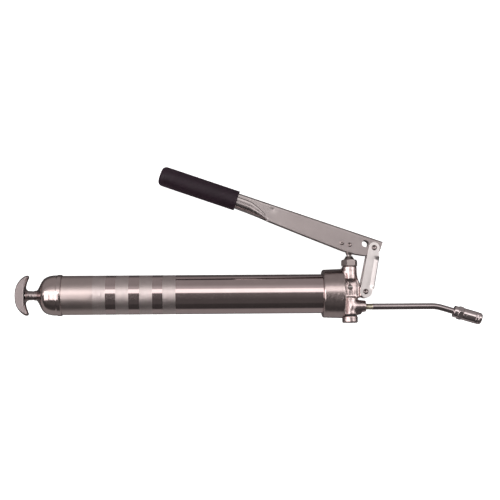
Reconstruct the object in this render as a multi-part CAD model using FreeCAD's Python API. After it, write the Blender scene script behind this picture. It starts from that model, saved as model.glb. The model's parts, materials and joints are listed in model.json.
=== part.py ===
import FreeCAD, Part
import math, os
from FreeCAD import Vector as V

os.makedirs("parts", exist_ok=True)

# Lever grease gun, lying on its side as it rests on a bench.
# Everything is drawn in a gun frame and placed once at the end:
#   x  along the barrel, from T-handle to coupler, x = 0 on the pump plunger's axis
#   y  from the barrel axis to the lever side, y = 0 on the barrel axis
#   z  across the lever's mid-plane, z = 0 in that plane
# All lengths are in millimetres.

# ---------------------------------------------------------------- driving dimensions
BARREL_R = 27.0          # 54 mm (2 1/8 in) steel tube
BARREL_BORE_R = 25.5
BARREL_REAR = -410.0     # rear end, inside the end cap
BARREL_SHOULDER = -396.0 # the end cap's skirt stops here
BARREL_FRONT = -14.0
NECK_R = 26.25           # reduced, threaded rear end

CAP_REAR = -432.0
CAP_SKIRT_R = 27.75
CAP_BEAD_R = 28.5
CAP_WALL = 1.4

ROD_R = 4.0
ROD_REAR = -452.0
ROD_FRONT = -17.5
HUB_R = 6.6
T_HALF = 27.8            # half length of the T-handle's crescent
T_THICK = 10.0

FOLLOWER_REAR = -38.0    # rear face of the follower's rear plate
FOLLOWER_R = 25.4        # 0.1 mm off the bore
SPRING_COIL_R = 18.5
SPRING_WIRE_R = 1.0

HEAD_REAR = -38.4
HEAD_R_REAR = 33.2
HEAD_R_FRONT = 34.2
HEAD_FACE = -9.0         # front face of the socket
HEAD_BORE_R = 27.05

BOSS_R = 10.4            # pump cylinder, outside
BOSS_TOP = 37.9
WAIST_TOP = 13.0
WAIST_BOTTOM = -6.0
CYL_BOTTOM = -30.0
PLUNGER_R = 3.5
BORE_R = 3.55
SEAT_Y = -14.0
OUTLET_Y = -18.4
OUTLET_END = 22.3

PIVOT_U = (33.9, 62.8)   # link to lever
PIVOT_L = (21.0, 2.2)    # link to pump head
PIVOT_P = (0.0, 67.2)    # lever to plunger
LINK_PIN_R = 3.0
PLUNGER_PIN_R = 2.5
PIN_CLEAR = 0.05

LEVER_ANGLE = 19.0       # lever to barrel, degrees
LEVER_HALF_W = 9.5
LEVER_T = 2.0
TAIL_R = 11.1            # rolled tail of the lever
TAIL_AXIS_T = 1.8        # its axis, above pivot U, across the lever
GRIP_START = 201.1       # along the lever from pivot U
GRIP_END = 313.3
GRIP_R = 13.9

LINK_IN = 9.7            # inner face of each link ear
LINK_T = 1.8

PIPE_R = 4.35
PIPE_BORE_R = 2.2
PIPE_BEND_X = 121.0
PIPE_ANGLE = 16.7
PIPE_BEND_R = 50.0
COUPLER_X = 144.7        # rear face of the coupler, along x

ROLL = -5.844             # the gun leans until its grip rests on the bench
PITCH = -0.837            # and its head ring is larger than its end cap

# ---------------------------------------------------------------- helpers
X, Y, Z = V(1, 0, 0), V(0, 1, 0), V(0, 0, 1)


def cyl(r, h, base, axis):
    return Part.makeCylinder(r, h, V(*base), axis)


def ring(r_out, r_in, h, base, axis):
    return cyl(r_out, h, base, axis).cut(
        Part.makeCylinder(r_in, h + 2, V(*base) - axis * 1.0, axis))


def revolve_x(points):
    """Turn a closed (x, r) outline about the barrel axis."""
    pts = [V(p[0], p[1], 0) for p in points]
    face = Part.Face(Part.makePolygon(pts + [pts[0]]))
    return face.revolve(V(0, 0, 0), X, 360)


def revolve_y(points, x=0.0, z=0.0):
    """Turn a closed (r, y) outline about an axis along y at x, z."""
    pts = [V(x + p[0], p[1], z) for p in points]
    face = Part.Face(Part.makePolygon(pts + [pts[0]]))
    return face.revolve(V(x, 0, z), Y, 360)


def prism(points, z0, z1):
    pts = [V(p[0], p[1], z0) for p in points]
    return Part.Face(Part.makePolygon(pts + [pts[0]])).extrude(V(0, 0, z1 - z0))


def wire_prism(edges, z0, z1):
    w = Part.Wire(edges)
    w.translate(V(0, 0, z0))
    return Part.Face(w).extrude(V(0, 0, z1 - z0))


def hexagon(af, h, base, axis, turn=0.0):
    """Hexagonal prism, af across flats, from base along axis."""
    r = af / math.sqrt(3.0)
    pts = [V(r * math.cos(math.radians(turn + 60 * i)),
             r * math.sin(math.radians(turn + 60 * i)), 0) for i in range(6)]
    s = Part.Face(Part.makePolygon(pts + [pts[0]])).extrude(V(0, 0, h))
    s.Placement = FreeCAD.Placement(V(*base), FreeCAD.Rotation(Z, axis))
    return s


def coil(radius, wire, length, turns, base, axis):
    """Compression spring from base along axis, wire = wire radius."""
    run = length - 2 * wire
    n = int(16 * turns)
    pts = [V(radius * math.cos(2 * math.pi * turns * i / n), radius * math.sin(2 * math.pi * turns * i / n),
             run * i / n) for i in range(n + 1)]
    line = Part.BSplineCurve()
    line.interpolate(pts)
    prof = Part.Wire(Part.Circle(pts[0], line.tangent(line.FirstParameter)[0], wire).toShape())
    s = Part.Wire([line.toShape()]).makePipeShell([prof], True, True)
    s.Placement = FreeCAD.Placement(V(*base) + axis * wire, FreeCAD.Rotation(Z, axis))
    return s


def solid(shape):
    """One clean shape made only of solids."""
    s = shape.removeSplitter() if len(shape.Solids) == 1 else shape
    return s.Solids[0] if len(s.Solids) == 1 else Part.makeCompound(s.Solids)


def place():
    roll = FreeCAD.Rotation(X, ROLL)
    pitch = FreeCAD.Rotation(Y, PITCH)
    return pitch.multiply(roll)


parts = {}

# ---------------------------------------------------------------- barrel and end cap
barrel = revolve_x([
    (BARREL_REAR, BARREL_BORE_R), (BARREL_REAR, NECK_R - 0.3), (BARREL_REAR + 0.3, NECK_R),
    (BARREL_SHOULDER, NECK_R), (BARREL_SHOULDER, BARREL_R - 0.3), (BARREL_SHOULDER + 0.3, BARREL_R),
    (BARREL_FRONT - 0.4, BARREL_R), (BARREL_FRONT, BARREL_R - 0.4), (BARREL_FRONT, BARREL_BORE_R)])
parts["barrel_tube"] = barrel

cap_out = [(-432.0, 6.7), (-430.6, 7.1), (-429.6, 8.6), (-428.4, 10.9), (-426.9, 13.8),
           (-425.6, 16.6), (-424.1, 19.4), (-422.8, 21.4), (-421.4, 22.9), (-420.0, 23.9),
           (-418.7, 24.8), (-415.9, 26.0), (-413.2, 26.9), (-410.4, 27.45), (-407.0, CAP_SKIRT_R),
           (-403.4, CAP_SKIRT_R), (-402.6, 28.2), (-401.2, CAP_BEAD_R), (-398.2, CAP_BEAD_R),
           (-396.9, 28.1), (-396.3, 27.6)]
cap_in = [(-396.3, 26.3), (-410.0, 26.3), (-410.2, 25.9), (-413.0, 25.4), (-415.6, 24.6),
          (-418.4, 23.3), (-420.0, 22.0), (-421.6, 20.2), (-422.9, 18.0), (-424.4, 15.0),
          (-425.8, 12.2), (-427.2, 9.6), (-428.4, 7.4), (-429.2, 5.6), (-432.0, 5.6)]
parts["end_cap"] = revolve_x(cap_out + cap_in)

# guide bushing for the rod, flanged on the inside of the cap's neck
parts["cap_bushing"] = revolve_x([
    (-432.0, ROD_R + 0.05), (-432.0, 5.6), (-424.4, 5.6), (-424.4, 9.0), (-422.0, 9.0),
    (-422.0, ROD_R + 0.05)])

# ---------------------------------------------------------------- T-handle
outer = [(-444.2, 27.7), (-446.0, T_HALF), (-448.5, 26.8), (-451.3, 24.9), (-454.1, 22.3), (-456.9, 19.0),
         (-459.6, 14.3), (-461.2, 8.0), (-461.8, 0.0)]
outer = outer + [(x, -y) for x, y in outer[-2::-1]]
crescent_edge = Part.BSplineCurve()
crescent_edge.interpolate([V(x, y, 0) for x, y in outer])
inner = [(-442.0, 25.6), (-443.6, 18.0), (-445.2, 11.0), (-446.0, 6.0)]
inner = inner + [(x, -y) for x, y in inner[::-1]]
inner_edge = Part.BSplineCurve()
inner_edge.interpolate([V(x, y, 0) for x, y in inner[::-1]])
a, b = V(-442.0, 25.6, 0), V(-444.2, 27.7, 0)
tip_up = Part.Arc(a, V(-442.3, 27.2, 0), b).toShape()
tip_dn = Part.Arc(V(-444.2, -27.7, 0), V(-442.3, -27.2, 0), V(-442.0, -25.6, 0)).toShape()
crescent = wire_prism([tip_up, crescent_edge.toShape(), tip_dn, inner_edge.toShape()], -T_THICK / 2, T_THICK / 2)
try:
    edges = [e for e in crescent.Edges
             if abs(abs(e.CenterOfMass.z) - T_THICK / 2) < 1e-3 and e.Length > 20]
    crescent = crescent.makeFillet(1.8, edges)
except Exception:
    pass
hub = revolve_x([(-450.0, 0), (-450.0, 7.4), (-446.0, 8.2), (-444.0, 7.2), (-442.0, HUB_R), (-432.6, HUB_R),
                 (-432.2, HUB_R - 0.4), (-432.2, 0)])
t_handle = crescent.fuse(hub).cut(cyl(ROD_R, 30, (ROD_REAR, 0, 0), X))
parts["t_handle"] = t_handle

# ---------------------------------------------------------------- rod, follower and its spring
rod = revolve_x([(ROD_REAR, 0), (ROD_REAR, ROD_R), (ROD_FRONT - 0.6, ROD_R), (ROD_FRONT, ROD_R - 0.6), (ROD_FRONT, 0)])
parts["follower_rod"] = rod
F = FOLLOWER_REAR
parts["rod_collar"] = ring(7.5, ROD_R, 3.0, (F - 3.1, 0, 0), X)
nut = hexagon(13.0, 5.0, (F + 13.6, 0, 0), X, 12).cut(cyl(ROD_R, 8, (F + 12, 0, 0), X))
parts["rod_nut"] = nut
parts["follower_rear_plate"] = revolve_x([
    (F, ROD_R + 0.05), (F, 15.5), (F - 1.2, 15.5), (F - 1.2, 16.6), (F, 16.6), (F, 22.5), (F + 2.0, 22.5),
    (F + 2.0, ROD_R + 0.05)])
parts["follower_cup"] = revolve_x([
    (F + 2.0, ROD_R + 0.05), (F + 2.0, 24.0), (F + 3.4, FOLLOWER_R), (F + 16.0, FOLLOWER_R), (F + 16.0, 24.4),
    (F + 12.0, 22.2), (F + 6.5, 21.2), (F + 5.5, 20.0), (F + 5.5, 19.6), (F + 5.5, ROD_R + 0.05)])
parts["follower_front_plate"] = revolve_x([
    (F + 5.5, ROD_R + 0.05), (F + 5.5, 19.5), (F + 7.5, 19.5), (F + 10.0, 9.5), (F + 13.5, 9.5),
    (F + 13.5, ROD_R + 0.05)])
parts["follower_spring"] = coil(SPRING_COIL_R, SPRING_WIRE_R, (F - 0.3) - (-421.2), 20, (-421.2, 0, 0), X)

# ---------------------------------------------------------------- pump head casting
shell = revolve_x([
    (HEAD_REAR, 0), (HEAD_REAR, HEAD_R_REAR - 2.6), (HEAD_REAR + 0.7, HEAD_R_REAR - 0.9),
    (HEAD_REAR + 2.4, HEAD_R_REAR), (HEAD_FACE - 2.2, HEAD_R_FRONT), (HEAD_FACE - 0.6, HEAD_R_FRONT - 0.7),
    (HEAD_FACE, HEAD_R_FRONT - 2.4), (HEAD_FACE, 0)])
boss = revolve_y([(0, WAIST_TOP), (8.6, WAIST_TOP), (BOSS_R, WAIST_TOP + 2.6), (BOSS_R, BOSS_TOP - 0.8),
                  (BOSS_R - 0.8, BOSS_TOP), (0, BOSS_TOP)])
waist = cyl(8.6, WAIST_TOP - WAIST_BOTTOM, (0, WAIST_BOTTOM, 0), Y)
lower = revolve_y([(0, CYL_BOTTOM), (9.6, CYL_BOTTOM), (10.4, CYL_BOTTOM + 1.0), (10.4, WAIST_BOTTOM - 2.6),
                   (8.6, WAIST_BOTTOM), (0, WAIST_BOTTOM)])
web = prism([(HEAD_FACE - 1, 30.5), (-3, 31.5), (-3, -29), (HEAD_FACE - 1, -28)], -8.4, 8.4)
outlet = cyl(7.6, OUTLET_END - 4, (4, OUTLET_Y + 0.6, 0), X)
try:
    outlet = outlet.makeFillet(1.6, [e for e in outlet.Edges if abs(e.CenterOfMass.x - OUTLET_END) < 1e-3
                                     and len(e.Vertexes) == 1 and e.Length > 40])
except Exception:
    pass
fairing = prism([(6, -20), (17, -22), (16.6, -24.2), (11.2, -29.4), (6, -29.4)], -5.0, 5.0)
lug = prism([(4, 22.5), (9.6, 21.8), (13.6, 13.6), (21.0, 8.7), (21.0, -4.3), (13, -6), (4, -8)], -5.0, 5.0)
lug_ear = prism([(12.6, 6.1), (15.4, 8.7), (21.0, 8.7), (21.0, -4.3), (14.6, -4.3), (12.6, -2.4)], -9.0, 9.0)
eye = cyl(6.5, 18.0, (PIVOT_L[0], PIVOT_L[1], -9.0), Z)
head = shell
for piece in (boss, waist, lower, web, outlet, fairing, lug, lug_ear, eye):
    head = head.fuse(piece)
cuts = [
    cyl(HEAD_BORE_R, -12.0 - HEAD_REAR + 1, (HEAD_REAR - 1, 0, 0), X),          # socket for the barrel
    cyl(3.0, 12.5, (-12.5, 6.0, 0), X),                                          # feed port into the pump
    cyl(BORE_R, BOSS_TOP - SEAT_Y + 1, (0, SEAT_Y, 0), Y),                       # pump bore
    cyl(6.5, BOSS_TOP - 29.0 + 1, (0, 29.0, 0), Y),                              # packing chamber
    cyl(5.0, SEAT_Y + 24.5, (0, -24.5, 0), Y),                                   # valve chamber
    cyl(7.05, -24.0 - CYL_BOTTOM + 1, (0, CYL_BOTTOM - 1, 0), Y),                # plug thread
    cyl(11.2, 14.0, (0, CYL_BOTTOM - 14.0, 0), Y),                               # spot face for the plug
    cyl(2.6, 14.0, (0, OUTLET_Y, 0), X),                                         # outlet passage
    cyl(PIPE_R + 0.02, OUTLET_END - 12.5 + 1, (12.5, OUTLET_Y, 0), X),           # pipe thread
    cyl(LINK_PIN_R, 30, (PIVOT_L[0], PIVOT_L[1], -15), Z),                       # link pin, a press fit
    cyl(2.0, 8.0, (0.3, 8.0, 3.0), Z),                                           # bleed screw
    cyl(3.6, 6.0, (0.3, 8.0, 8.0), Z),
]
for c in cuts:
    head = head.cut(c)
parts["pump_head"] = head
parts["barrel_gasket"] = ring(26.9, 22.5, 2.0, (-14.0, 0, 0), X)

# ---------------------------------------------------------------- pump internals
plunger = revolve_y([(0, -10.5), (PLUNGER_R - 0.5, -10.5), (PLUNGER_R, -10.0), (PLUNGER_R, 53.0), (6.0, 58.5),
                     (6.0, 60.5), (0, 60.5)])
eye_block = prism([(-6.0, 58.6), (6.6, 58.6), (6.9, 66.0), (6.5, 70.5), (4.2, 73.2), (-2.8, 73.2), (-5.4, 70.5),
                   (-6.0, 66.0)], -6.6, 6.6)
slot_x0, slot_x1, slot_y0, slot_y1 = PIVOT_P[0] - 3.95, PIVOT_P[0] + 2.75, PIVOT_P[1] - 2.75, PIVOT_P[1] + 3.3
slot = prism([(slot_x0, slot_y0), (slot_x1, slot_y0), (slot_x1, slot_y1), (slot_x0, slot_y1)], -8, 8)
try:
    slot = slot.makeFillet(2.2, [e for e in slot.Edges if abs(e.CenterOfMass.z) < 0.1])
except Exception:
    pass
parts["plunger"] = plunger.common(Part.makeBox(20, 90, 13.2, V(-10, -15, -6.6))).fuse(eye_block).cut(slot)
parts["packing_washer"] = ring(6.45, PLUNGER_R + 0.1, 1.2, (0, 29.0, 0), Y)
parts["plunger_packing"] = ring(6.45, PLUNGER_R + 0.05, 4.0, (0, 30.2, 0), Y)
hexn = hexagon(20.0, 8.8, (0, BOSS_TOP, 0), Y, 14)
hexn = hexn.common(revolve_y([(0, BOSS_TOP), (10.6, BOSS_TOP), (11.6, BOSS_TOP + 0.9), (11.6, 44.7), (9.8, 46.7), (0, 46.7)]))
cone = revolve_y([(0, 46.7), (8.4, 46.7), (5.2, 50.6), (4.8, 51.7), (0, 51.7)])
spigot = cyl(6.45, BOSS_TOP - 34.3 + 0.1, (0, 34.3, 0), Y)
parts["packing_nut"] = hexn.fuse(cone).fuse(spigot).cut(cyl(PLUNGER_R + 0.08, 25, (0, 30, 0), Y))

BALL_R = 4.0
ball_y = SEAT_Y - math.sqrt(BALL_R ** 2 - BORE_R ** 2) - 0.03
parts["check_ball"] = Part.makeSphere(BALL_R, V(0, ball_y, 0))
parts["check_spring"] = coil(2.7, 0.4, 8.0, 5, (0, -28.2, 0), Y)
plug = revolve_y([(0, -40.7), (8.8, -40.7), (10.3, -39.9), (10.9, -38.4), (10.9, -32.0), (10.3, -31.2),
                  (6.95, -31.2), (6.95, -24.5), (3.4, -24.5), (3.4, -28.3), (0, -28.3)])
parts["cylinder_plug"] = plug.cut(Part.makeBox(16, 2.0, 2.2, V(-8, -41.2, -1.1)))
parts["plug_gasket"] = ring(9.8, 7.1, 1.2, (0, -31.2, 0), Y)
screw = cyl(3.5, 2.6, (0.3, 8.0, 8.05), Z).fuse(cyl(1.95, 4.2, (0.3, 8.0, 3.9), Z))
parts["bleed_screw"] = screw.cut(Part.makeBox(8, 1.1, 1.2, V(0.3 - 4, 8.0 - 0.55, 9.5)))

# ---------------------------------------------------------------- lever
ux, uy = PIVOT_U
ca, sa = math.cos(math.radians(LEVER_ANGLE)), math.sin(math.radians(LEVER_ANGLE))


def lv(s, t):
    """Point on the lever: s from pivot U towards the grip, t across, away from the barrel."""
    return (ux - ca * s + sa * t, uy + sa * s + ca * t)


LV_AXIS = V(-ca, sa, 0)


def lv_cyl(r, s0, s1, t):
    p = lv(s0, t)
    return cyl(r, s1 - s0, (p[0], p[1], 0), LV_AXIS)


TOP_T = 12.0
outline = [(-9.2, TOP_T), (-9.0, -2.2), (7.9, -13.8), (22.5, -16.4), (38.5, -17.1), (98.0, -14.3), (161.0, -10.7),
           (169.7, -10.0), (183.7, -9.3), (183.7, TOP_T)]
inner_outline = [(-14.0, TOP_T - LEVER_T), (-14.0, -22.0), (169.7, -22.0), (169.7, TOP_T - LEVER_T)]
channel = prism([lv(*p) for p in outline], -LEVER_HALF_W, LEVER_HALF_W)
try:
    ridge = [e for e in channel.Edges if abs(abs(e.CenterOfMass.z) - LEVER_HALF_W) < 1e-3 and e.Length > 190]
    channel = channel.makeFillet(2.6, ridge)
except Exception:
    pass
hollow = prism([lv(*p) for p in inner_outline], -LEVER_HALF_W + LEVER_T, LEVER_HALF_W - LEVER_T)
lever = channel.cut(hollow)
tail = lv_cyl(TAIL_R, 169.7, GRIP_END - 4.0, TAIL_AXIS_T)
lever = lever.fuse(tail).cut(lv_cyl(TAIL_R - LEVER_T, 163.0, GRIP_END, TAIL_AXIS_T))
for (px_, py_), r in (((PIVOT_U), LINK_PIN_R + PIN_CLEAR), ((PIVOT_P), PLUNGER_PIN_R), (lv(13.3, 1.4), 4.7),
                      (lv(44.6, -8.0), 2.2)):
    lever = lever.cut(cyl(r, 40, (px_, py_, -20), Z))
parts["lever"] = lever

grip = lv_cyl(GRIP_R, GRIP_START, GRIP_END, TAIL_AXIS_T)
far = lv(GRIP_END, TAIL_AXIS_T)
try:
    grip = grip.makeFillet(6.5, [e for e in grip.Edges
                                 if (e.CenterOfMass - V(far[0], far[1], 0)).Length < 1.0 and e.Length > 60])
except Exception:
    pass
parts["lever_grip"] = grip.cut(lv_cyl(TAIL_R + 0.0, GRIP_START - 1, GRIP_END - 4.0, TAIL_AXIS_T))


def pin(p, r, head_r, z_far, z_near, head_h, groove_z):
    """Headed pin across the lever: head on the near side, clip groove on the far side."""
    s = cyl(r, z_near - z_far, (p[0], p[1], z_far), Z)
    h = cyl(head_r, head_h, (p[0], p[1], z_near), Z)
    h = h.makeFillet(min(0.6, head_h * 0.45), [e for e in h.Edges if abs(e.CenterOfMass.z - z_near - head_h) < 1e-3
                                              and len(e.Vertexes) == 1])
    s = s.fuse(h)
    return s.cut(ring(r + 1, r - 0.5, 0.9, (p[0], p[1], groove_z), Z))


def clip(p, r_in, r_out, z0):
    """Spring retaining clip with an open mouth."""
    c = ring(r_out, r_in, 0.8, (p[0], p[1], z0), Z)
    return c.cut(Part.makeBox(r_out + 2, r_in * 1.3, 3, V(p[0], p[1] - r_in * 0.65, z0 - 1)))


E = LINK_IN + LINK_T     # outer face of each link ear
parts["link_upper_pin"] = pin(PIVOT_U, LINK_PIN_R, 3.8, -E - 2.4, E, 1.3, -E - 1.2)
parts["link_lower_pin"] = pin(PIVOT_L, LINK_PIN_R, 3.8, -E - 2.4, E + 0.05, 1.3, -E - 1.2)
parts["upper_pin_clip"] = clip(PIVOT_U, LINK_PIN_R - 0.45, 5.2, -E - 1.15)
parts["lower_pin_clip"] = clip(PIVOT_L, LINK_PIN_R - 0.45, 5.2, -E - 1.15)
W = LEVER_HALF_W
parts["plunger_pin"] = pin(PIVOT_P, PLUNGER_PIN_R, 3.1, -W - 2.0, W, 0.9, -W - 1.05)
parts["plunger_pin_clip"] = clip(PIVOT_P, PLUNGER_PIN_R - 0.45, 4.4, -W - 1.0)
rv = lv(44.6, -8.0)
rivet = cyl(2.2, 2 * W, (rv[0], rv[1], -W), Z)
for sgn in (-1, 1):
    base = (rv[0], rv[1], W if sgn > 0 else -W)
    rivet = rivet.fuse(cyl(3.3, 0.7, base, Z * sgn))
parts["lever_rivet"] = rivet

# ---------------------------------------------------------------- fulcrum link
lx, ly = PIVOT_L
span = math.hypot(ux - lx, uy - ly)
du = ((ux - lx) / span, (uy - ly) / span)
dv = (du[1], -du[0])


def lk(u, v):
    """Point on the link: u from pivot L to pivot U, v to the side away from the barrel."""
    return (lx + du[0] * u + dv[0] * v, ly + du[1] * u + dv[1] * v)


def lk_v(u, v):
    p = lk(u, v)
    return V(p[0], p[1], 0)


WEB_LOW, WEB_HIGH = 6.0, 50.0            # the web's two ends, up from the lower pin
WEB_V_LOW, WEB_V_HIGH = 11.2, 10.0       # its outer face
LINK_BEND = 5.0                          # bend between ear and web
ear_edges = [
    Part.LineSegment(lk_v(0, -7.8), lk_v(span, -7.5)).toShape(),
    Part.Arc(lk_v(span, -7.5), lk_v(span + 7.5, 0), lk_v(span, 7.5)).toShape(),
    Part.LineSegment(lk_v(span, 7.5), lk_v(WEB_HIGH, WEB_V_HIGH)).toShape(),
    Part.LineSegment(lk_v(WEB_HIGH, WEB_V_HIGH), lk_v(WEB_LOW, WEB_V_LOW)).toShape(),
    Part.LineSegment(lk_v(WEB_LOW, WEB_V_LOW), lk_v(3.4, 9.0)).toShape(),
    Part.LineSegment(lk_v(3.4, 9.0), lk_v(0, 9.0)).toShape(),
    Part.Arc(lk_v(0, 9.0), lk_v(-8.6, 0.6), lk_v(0, -7.8)).toShape()]
block = wire_prism(ear_edges, -E, E)
hollow = prism([lk(-14, -14), lk(-14, 16), lk(WEB_LOW, 16), lk(WEB_LOW, WEB_V_LOW - LINK_T),
                lk(WEB_HIGH, WEB_V_HIGH - LINK_T), lk(WEB_HIGH, 16), lk(span + 14, 16), lk(span + 14, -14)],
               -LINK_IN, LINK_IN)


def bend_edges(solid, v_low, half):
    """The two long edges beside the web."""
    mid = lk_v(0.5 * (WEB_LOW + WEB_HIGH), v_low)
    return [e for e in solid.Edges if abs(abs(e.CenterOfMass.z) - half) < 1e-3 and abs(e.Length - 44.0) < 0.6
            and math.hypot(e.CenterOfMass.x - mid.x, e.CenterOfMass.y - mid.y) < 2.0]


try:
    rounded = block.makeFillet(LINK_BEND, bend_edges(block, 0.5 * (WEB_V_LOW + WEB_V_HIGH), E))
    rounded_hollow = hollow.makeFillet(LINK_BEND - LINK_T, bend_edges(hollow, 0.5 * (WEB_V_LOW + WEB_V_HIGH) - LINK_T, LINK_IN))
    if rounded.isValid() and rounded_hollow.isValid():
        block, hollow = rounded, rounded_hollow
except Exception:
    pass
link = block.cut(hollow)
link = link.cut(cyl(LINK_PIN_R, 40, (ux, uy, -20), Z)).cut(cyl(LINK_PIN_R + PIN_CLEAR, 40, (lx, ly, -20), Z))
parts["fulcrum_link"] = link

# ---------------------------------------------------------------- discharge pipe
ba = math.radians(PIPE_ANGLE)
tl = PIPE_BEND_R * math.tan(ba / 2)
p0 = V(12.6, OUTLET_Y, 0)
pb = V(PIPE_BEND_X, OUTLET_Y, 0)
d1, d2 = V(1, 0, 0), V(math.cos(ba), -math.sin(ba), 0)
a0, a1 = pb - d1 * tl, pb + d2 * tl
centre = a0 - V(0, PIPE_BEND_R, 0)
am = centre + V(math.sin(ba / 2), math.cos(ba / 2), 0) * PIPE_BEND_R
c0 = pb + d2 * ((COUPLER_X - PIPE_BEND_X) / math.cos(ba))     # coupler's rear face
p1 = c0 + d2 * 10.0
path = Part.Wire([Part.LineSegment(p0, a0).toShape(), Part.Arc(a0, am, a1).toShape(),
                  Part.LineSegment(a1, p1).toShape()])


def tube(r):
    prof = Part.Wire(Part.Circle(p0, X, r).toShape())
    return path.makePipeShell([prof], True, True)


parts["extension_pipe"] = tube(PIPE_R).cut(tube(PIPE_BORE_R))

# ---------------------------------------------------------------- grease coupler
CP = FreeCAD.Placement(c0, FreeCAD.Rotation(Z, d2))


def turned(points):
    """Turn a closed (r, s) outline about the coupler axis, s from its rear face."""
    pts = [V(p[0], 0, p[1]) for p in points]
    s = Part.Face(Part.makePolygon(pts + [pts[0]])).revolve(V(0, 0, 0), Z, 360)
    s.Placement = CP
    return s


adapter = turned([(0, 0), (7.4, 0), (8.2, 0.8), (8.2, 5.3), (7.6, 6.1), (0, 6.1)])
hx = hexagon(17.0, 6.9, (0, 0, 0), Z, 20).common(
    Part.makeCone(8.8, 9.8, 1.0).fuse(Part.makeCylinder(9.8, 4.9, V(0, 0, 1.0))).fuse(
        Part.makeCone(9.8, 8.8, 1.0, V(0, 0, 5.9))))
hx.Placement = FreeCAD.Placement(c0 + d2 * 6.1, FreeCAD.Rotation(Z, d2))
adapter = adapter.fuse(hx).fuse(turned([(0, 13.0), (5.5, 13.0), (5.5, 18.0), (0, 18.0)]))
adapter = adapter.cut(turned([(0, -1), (PIPE_R + 0.02, -1), (PIPE_R + 0.02, 10.05), (0, 10.05)]))
adapter = adapter.cut(turned([(0, 9), (2.0, 9), (2.0, 20), (0, 20)]))
parts["coupler_adapter"] = adapter
parts["coupler_body"] = turned([(5.55, 13.0), (7.9, 13.0), (8.5, 13.6), (8.5, 30.6), (8.1, 31.2), (6.0, 31.2),
                                (6.0, 18.1), (5.55, 18.1)])
parts["coupler_sleeve"] = turned([(5.4, 28.2), (5.95, 28.2), (5.95, 31.3), (8.2, 31.3), (8.5, 31.7), (8.5, 33.0),
                                  (8.0, 33.4), (8.0, 34.4), (8.4, 34.8), (8.4, 38.0), (6.8, 40.3), (3.5, 40.3),
                                  (3.5, 38.9), (5.4, 35.7)])
jaw = turned([(2.6, 29.4), (5.3, 29.4), (5.3, 35.3), (3.7, 38.2), (2.7, 38.2), (2.7, 36.9), (3.4, 35.3), (3.4, 31.0), (2.6, 31.0)])
slots = None
for ang in (60.0, 180.0, 300.0):
    w = Part.makeBox(20, 0.8, 20, V(0, -0.4, 25))
    w.rotate(V(0, 0, 0), Z, ang)
    w.Placement = CP.multiply(w.Placement)
    slots = w if slots is None else slots.fuse(w)
parts["coupler_jaws"] = jaw.cut(slots)
parts["coupler_seal"] = turned([(1.2, 24.6), (5.8, 24.6), (5.8, 27.6), (4.2, 29.3), (1.2, 29.3)])
cs = c0 + d2 * 18.3
parts["coupler_spring"] = coil(4.8, 0.45, 6.2, 3, (cs.x, cs.y, cs.z), d2)
BALL2_R = 2.3
bs = 18.0 + math.sqrt(BALL2_R ** 2 - 2.0 ** 2) + 0.03
bc = c0 + d2 * bs
parts["coupler_ball"] = Part.makeSphere(BALL2_R, bc)

# ---------------------------------------------------------------- place on the bench and write
rot = place()
posed = {}
for name, shape in parts.items():
    s = solid(shape).copy()
    s.Placement = FreeCAD.Placement(V(0, 0, 0), rot).multiply(s.Placement)
    posed[name] = s
boxes = [s.optimalBoundingBox(False, False) if name in ("pump_head", "lever_grip", "end_cap") else s.BoundBox
         for name, s in posed.items()]
lo = [min(getattr(b, k) for b in boxes) for k in ("XMin", "YMin", "ZMin")]
hi = [max(getattr(b, k) for b in boxes) for k in ("XMax", "YMax", "ZMax")]
zlow = {n: s.optimalBoundingBox(False, False).ZMin for n, s in posed.items() if n in ("pump_head", "lever_grip", "end_cap")}
shift = V(-(lo[0] + hi[0]) / 2, -(lo[1] + hi[1]) / 2, -min(zlow.values()))
print("shift", tuple(round(c, 4) for c in shift), "lowest", {k: round(v + shift.z, 3) for k, v in zlow.items()})
for name, s in posed.items():
    s.Placement = FreeCAD.Placement(shift, FreeCAD.Rotation()).multiply(s.Placement)
    ok = s.isValid() and all(q.isClosed() for q in s.Solids)
    print(f"{name:22s} solids {len(s.Solids)} volume {s.Volume/1000:9.3f} cm3 {'ok' if ok else 'NOT VALID'}")
    s.exportStep(f"parts/{name}.step")
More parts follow.
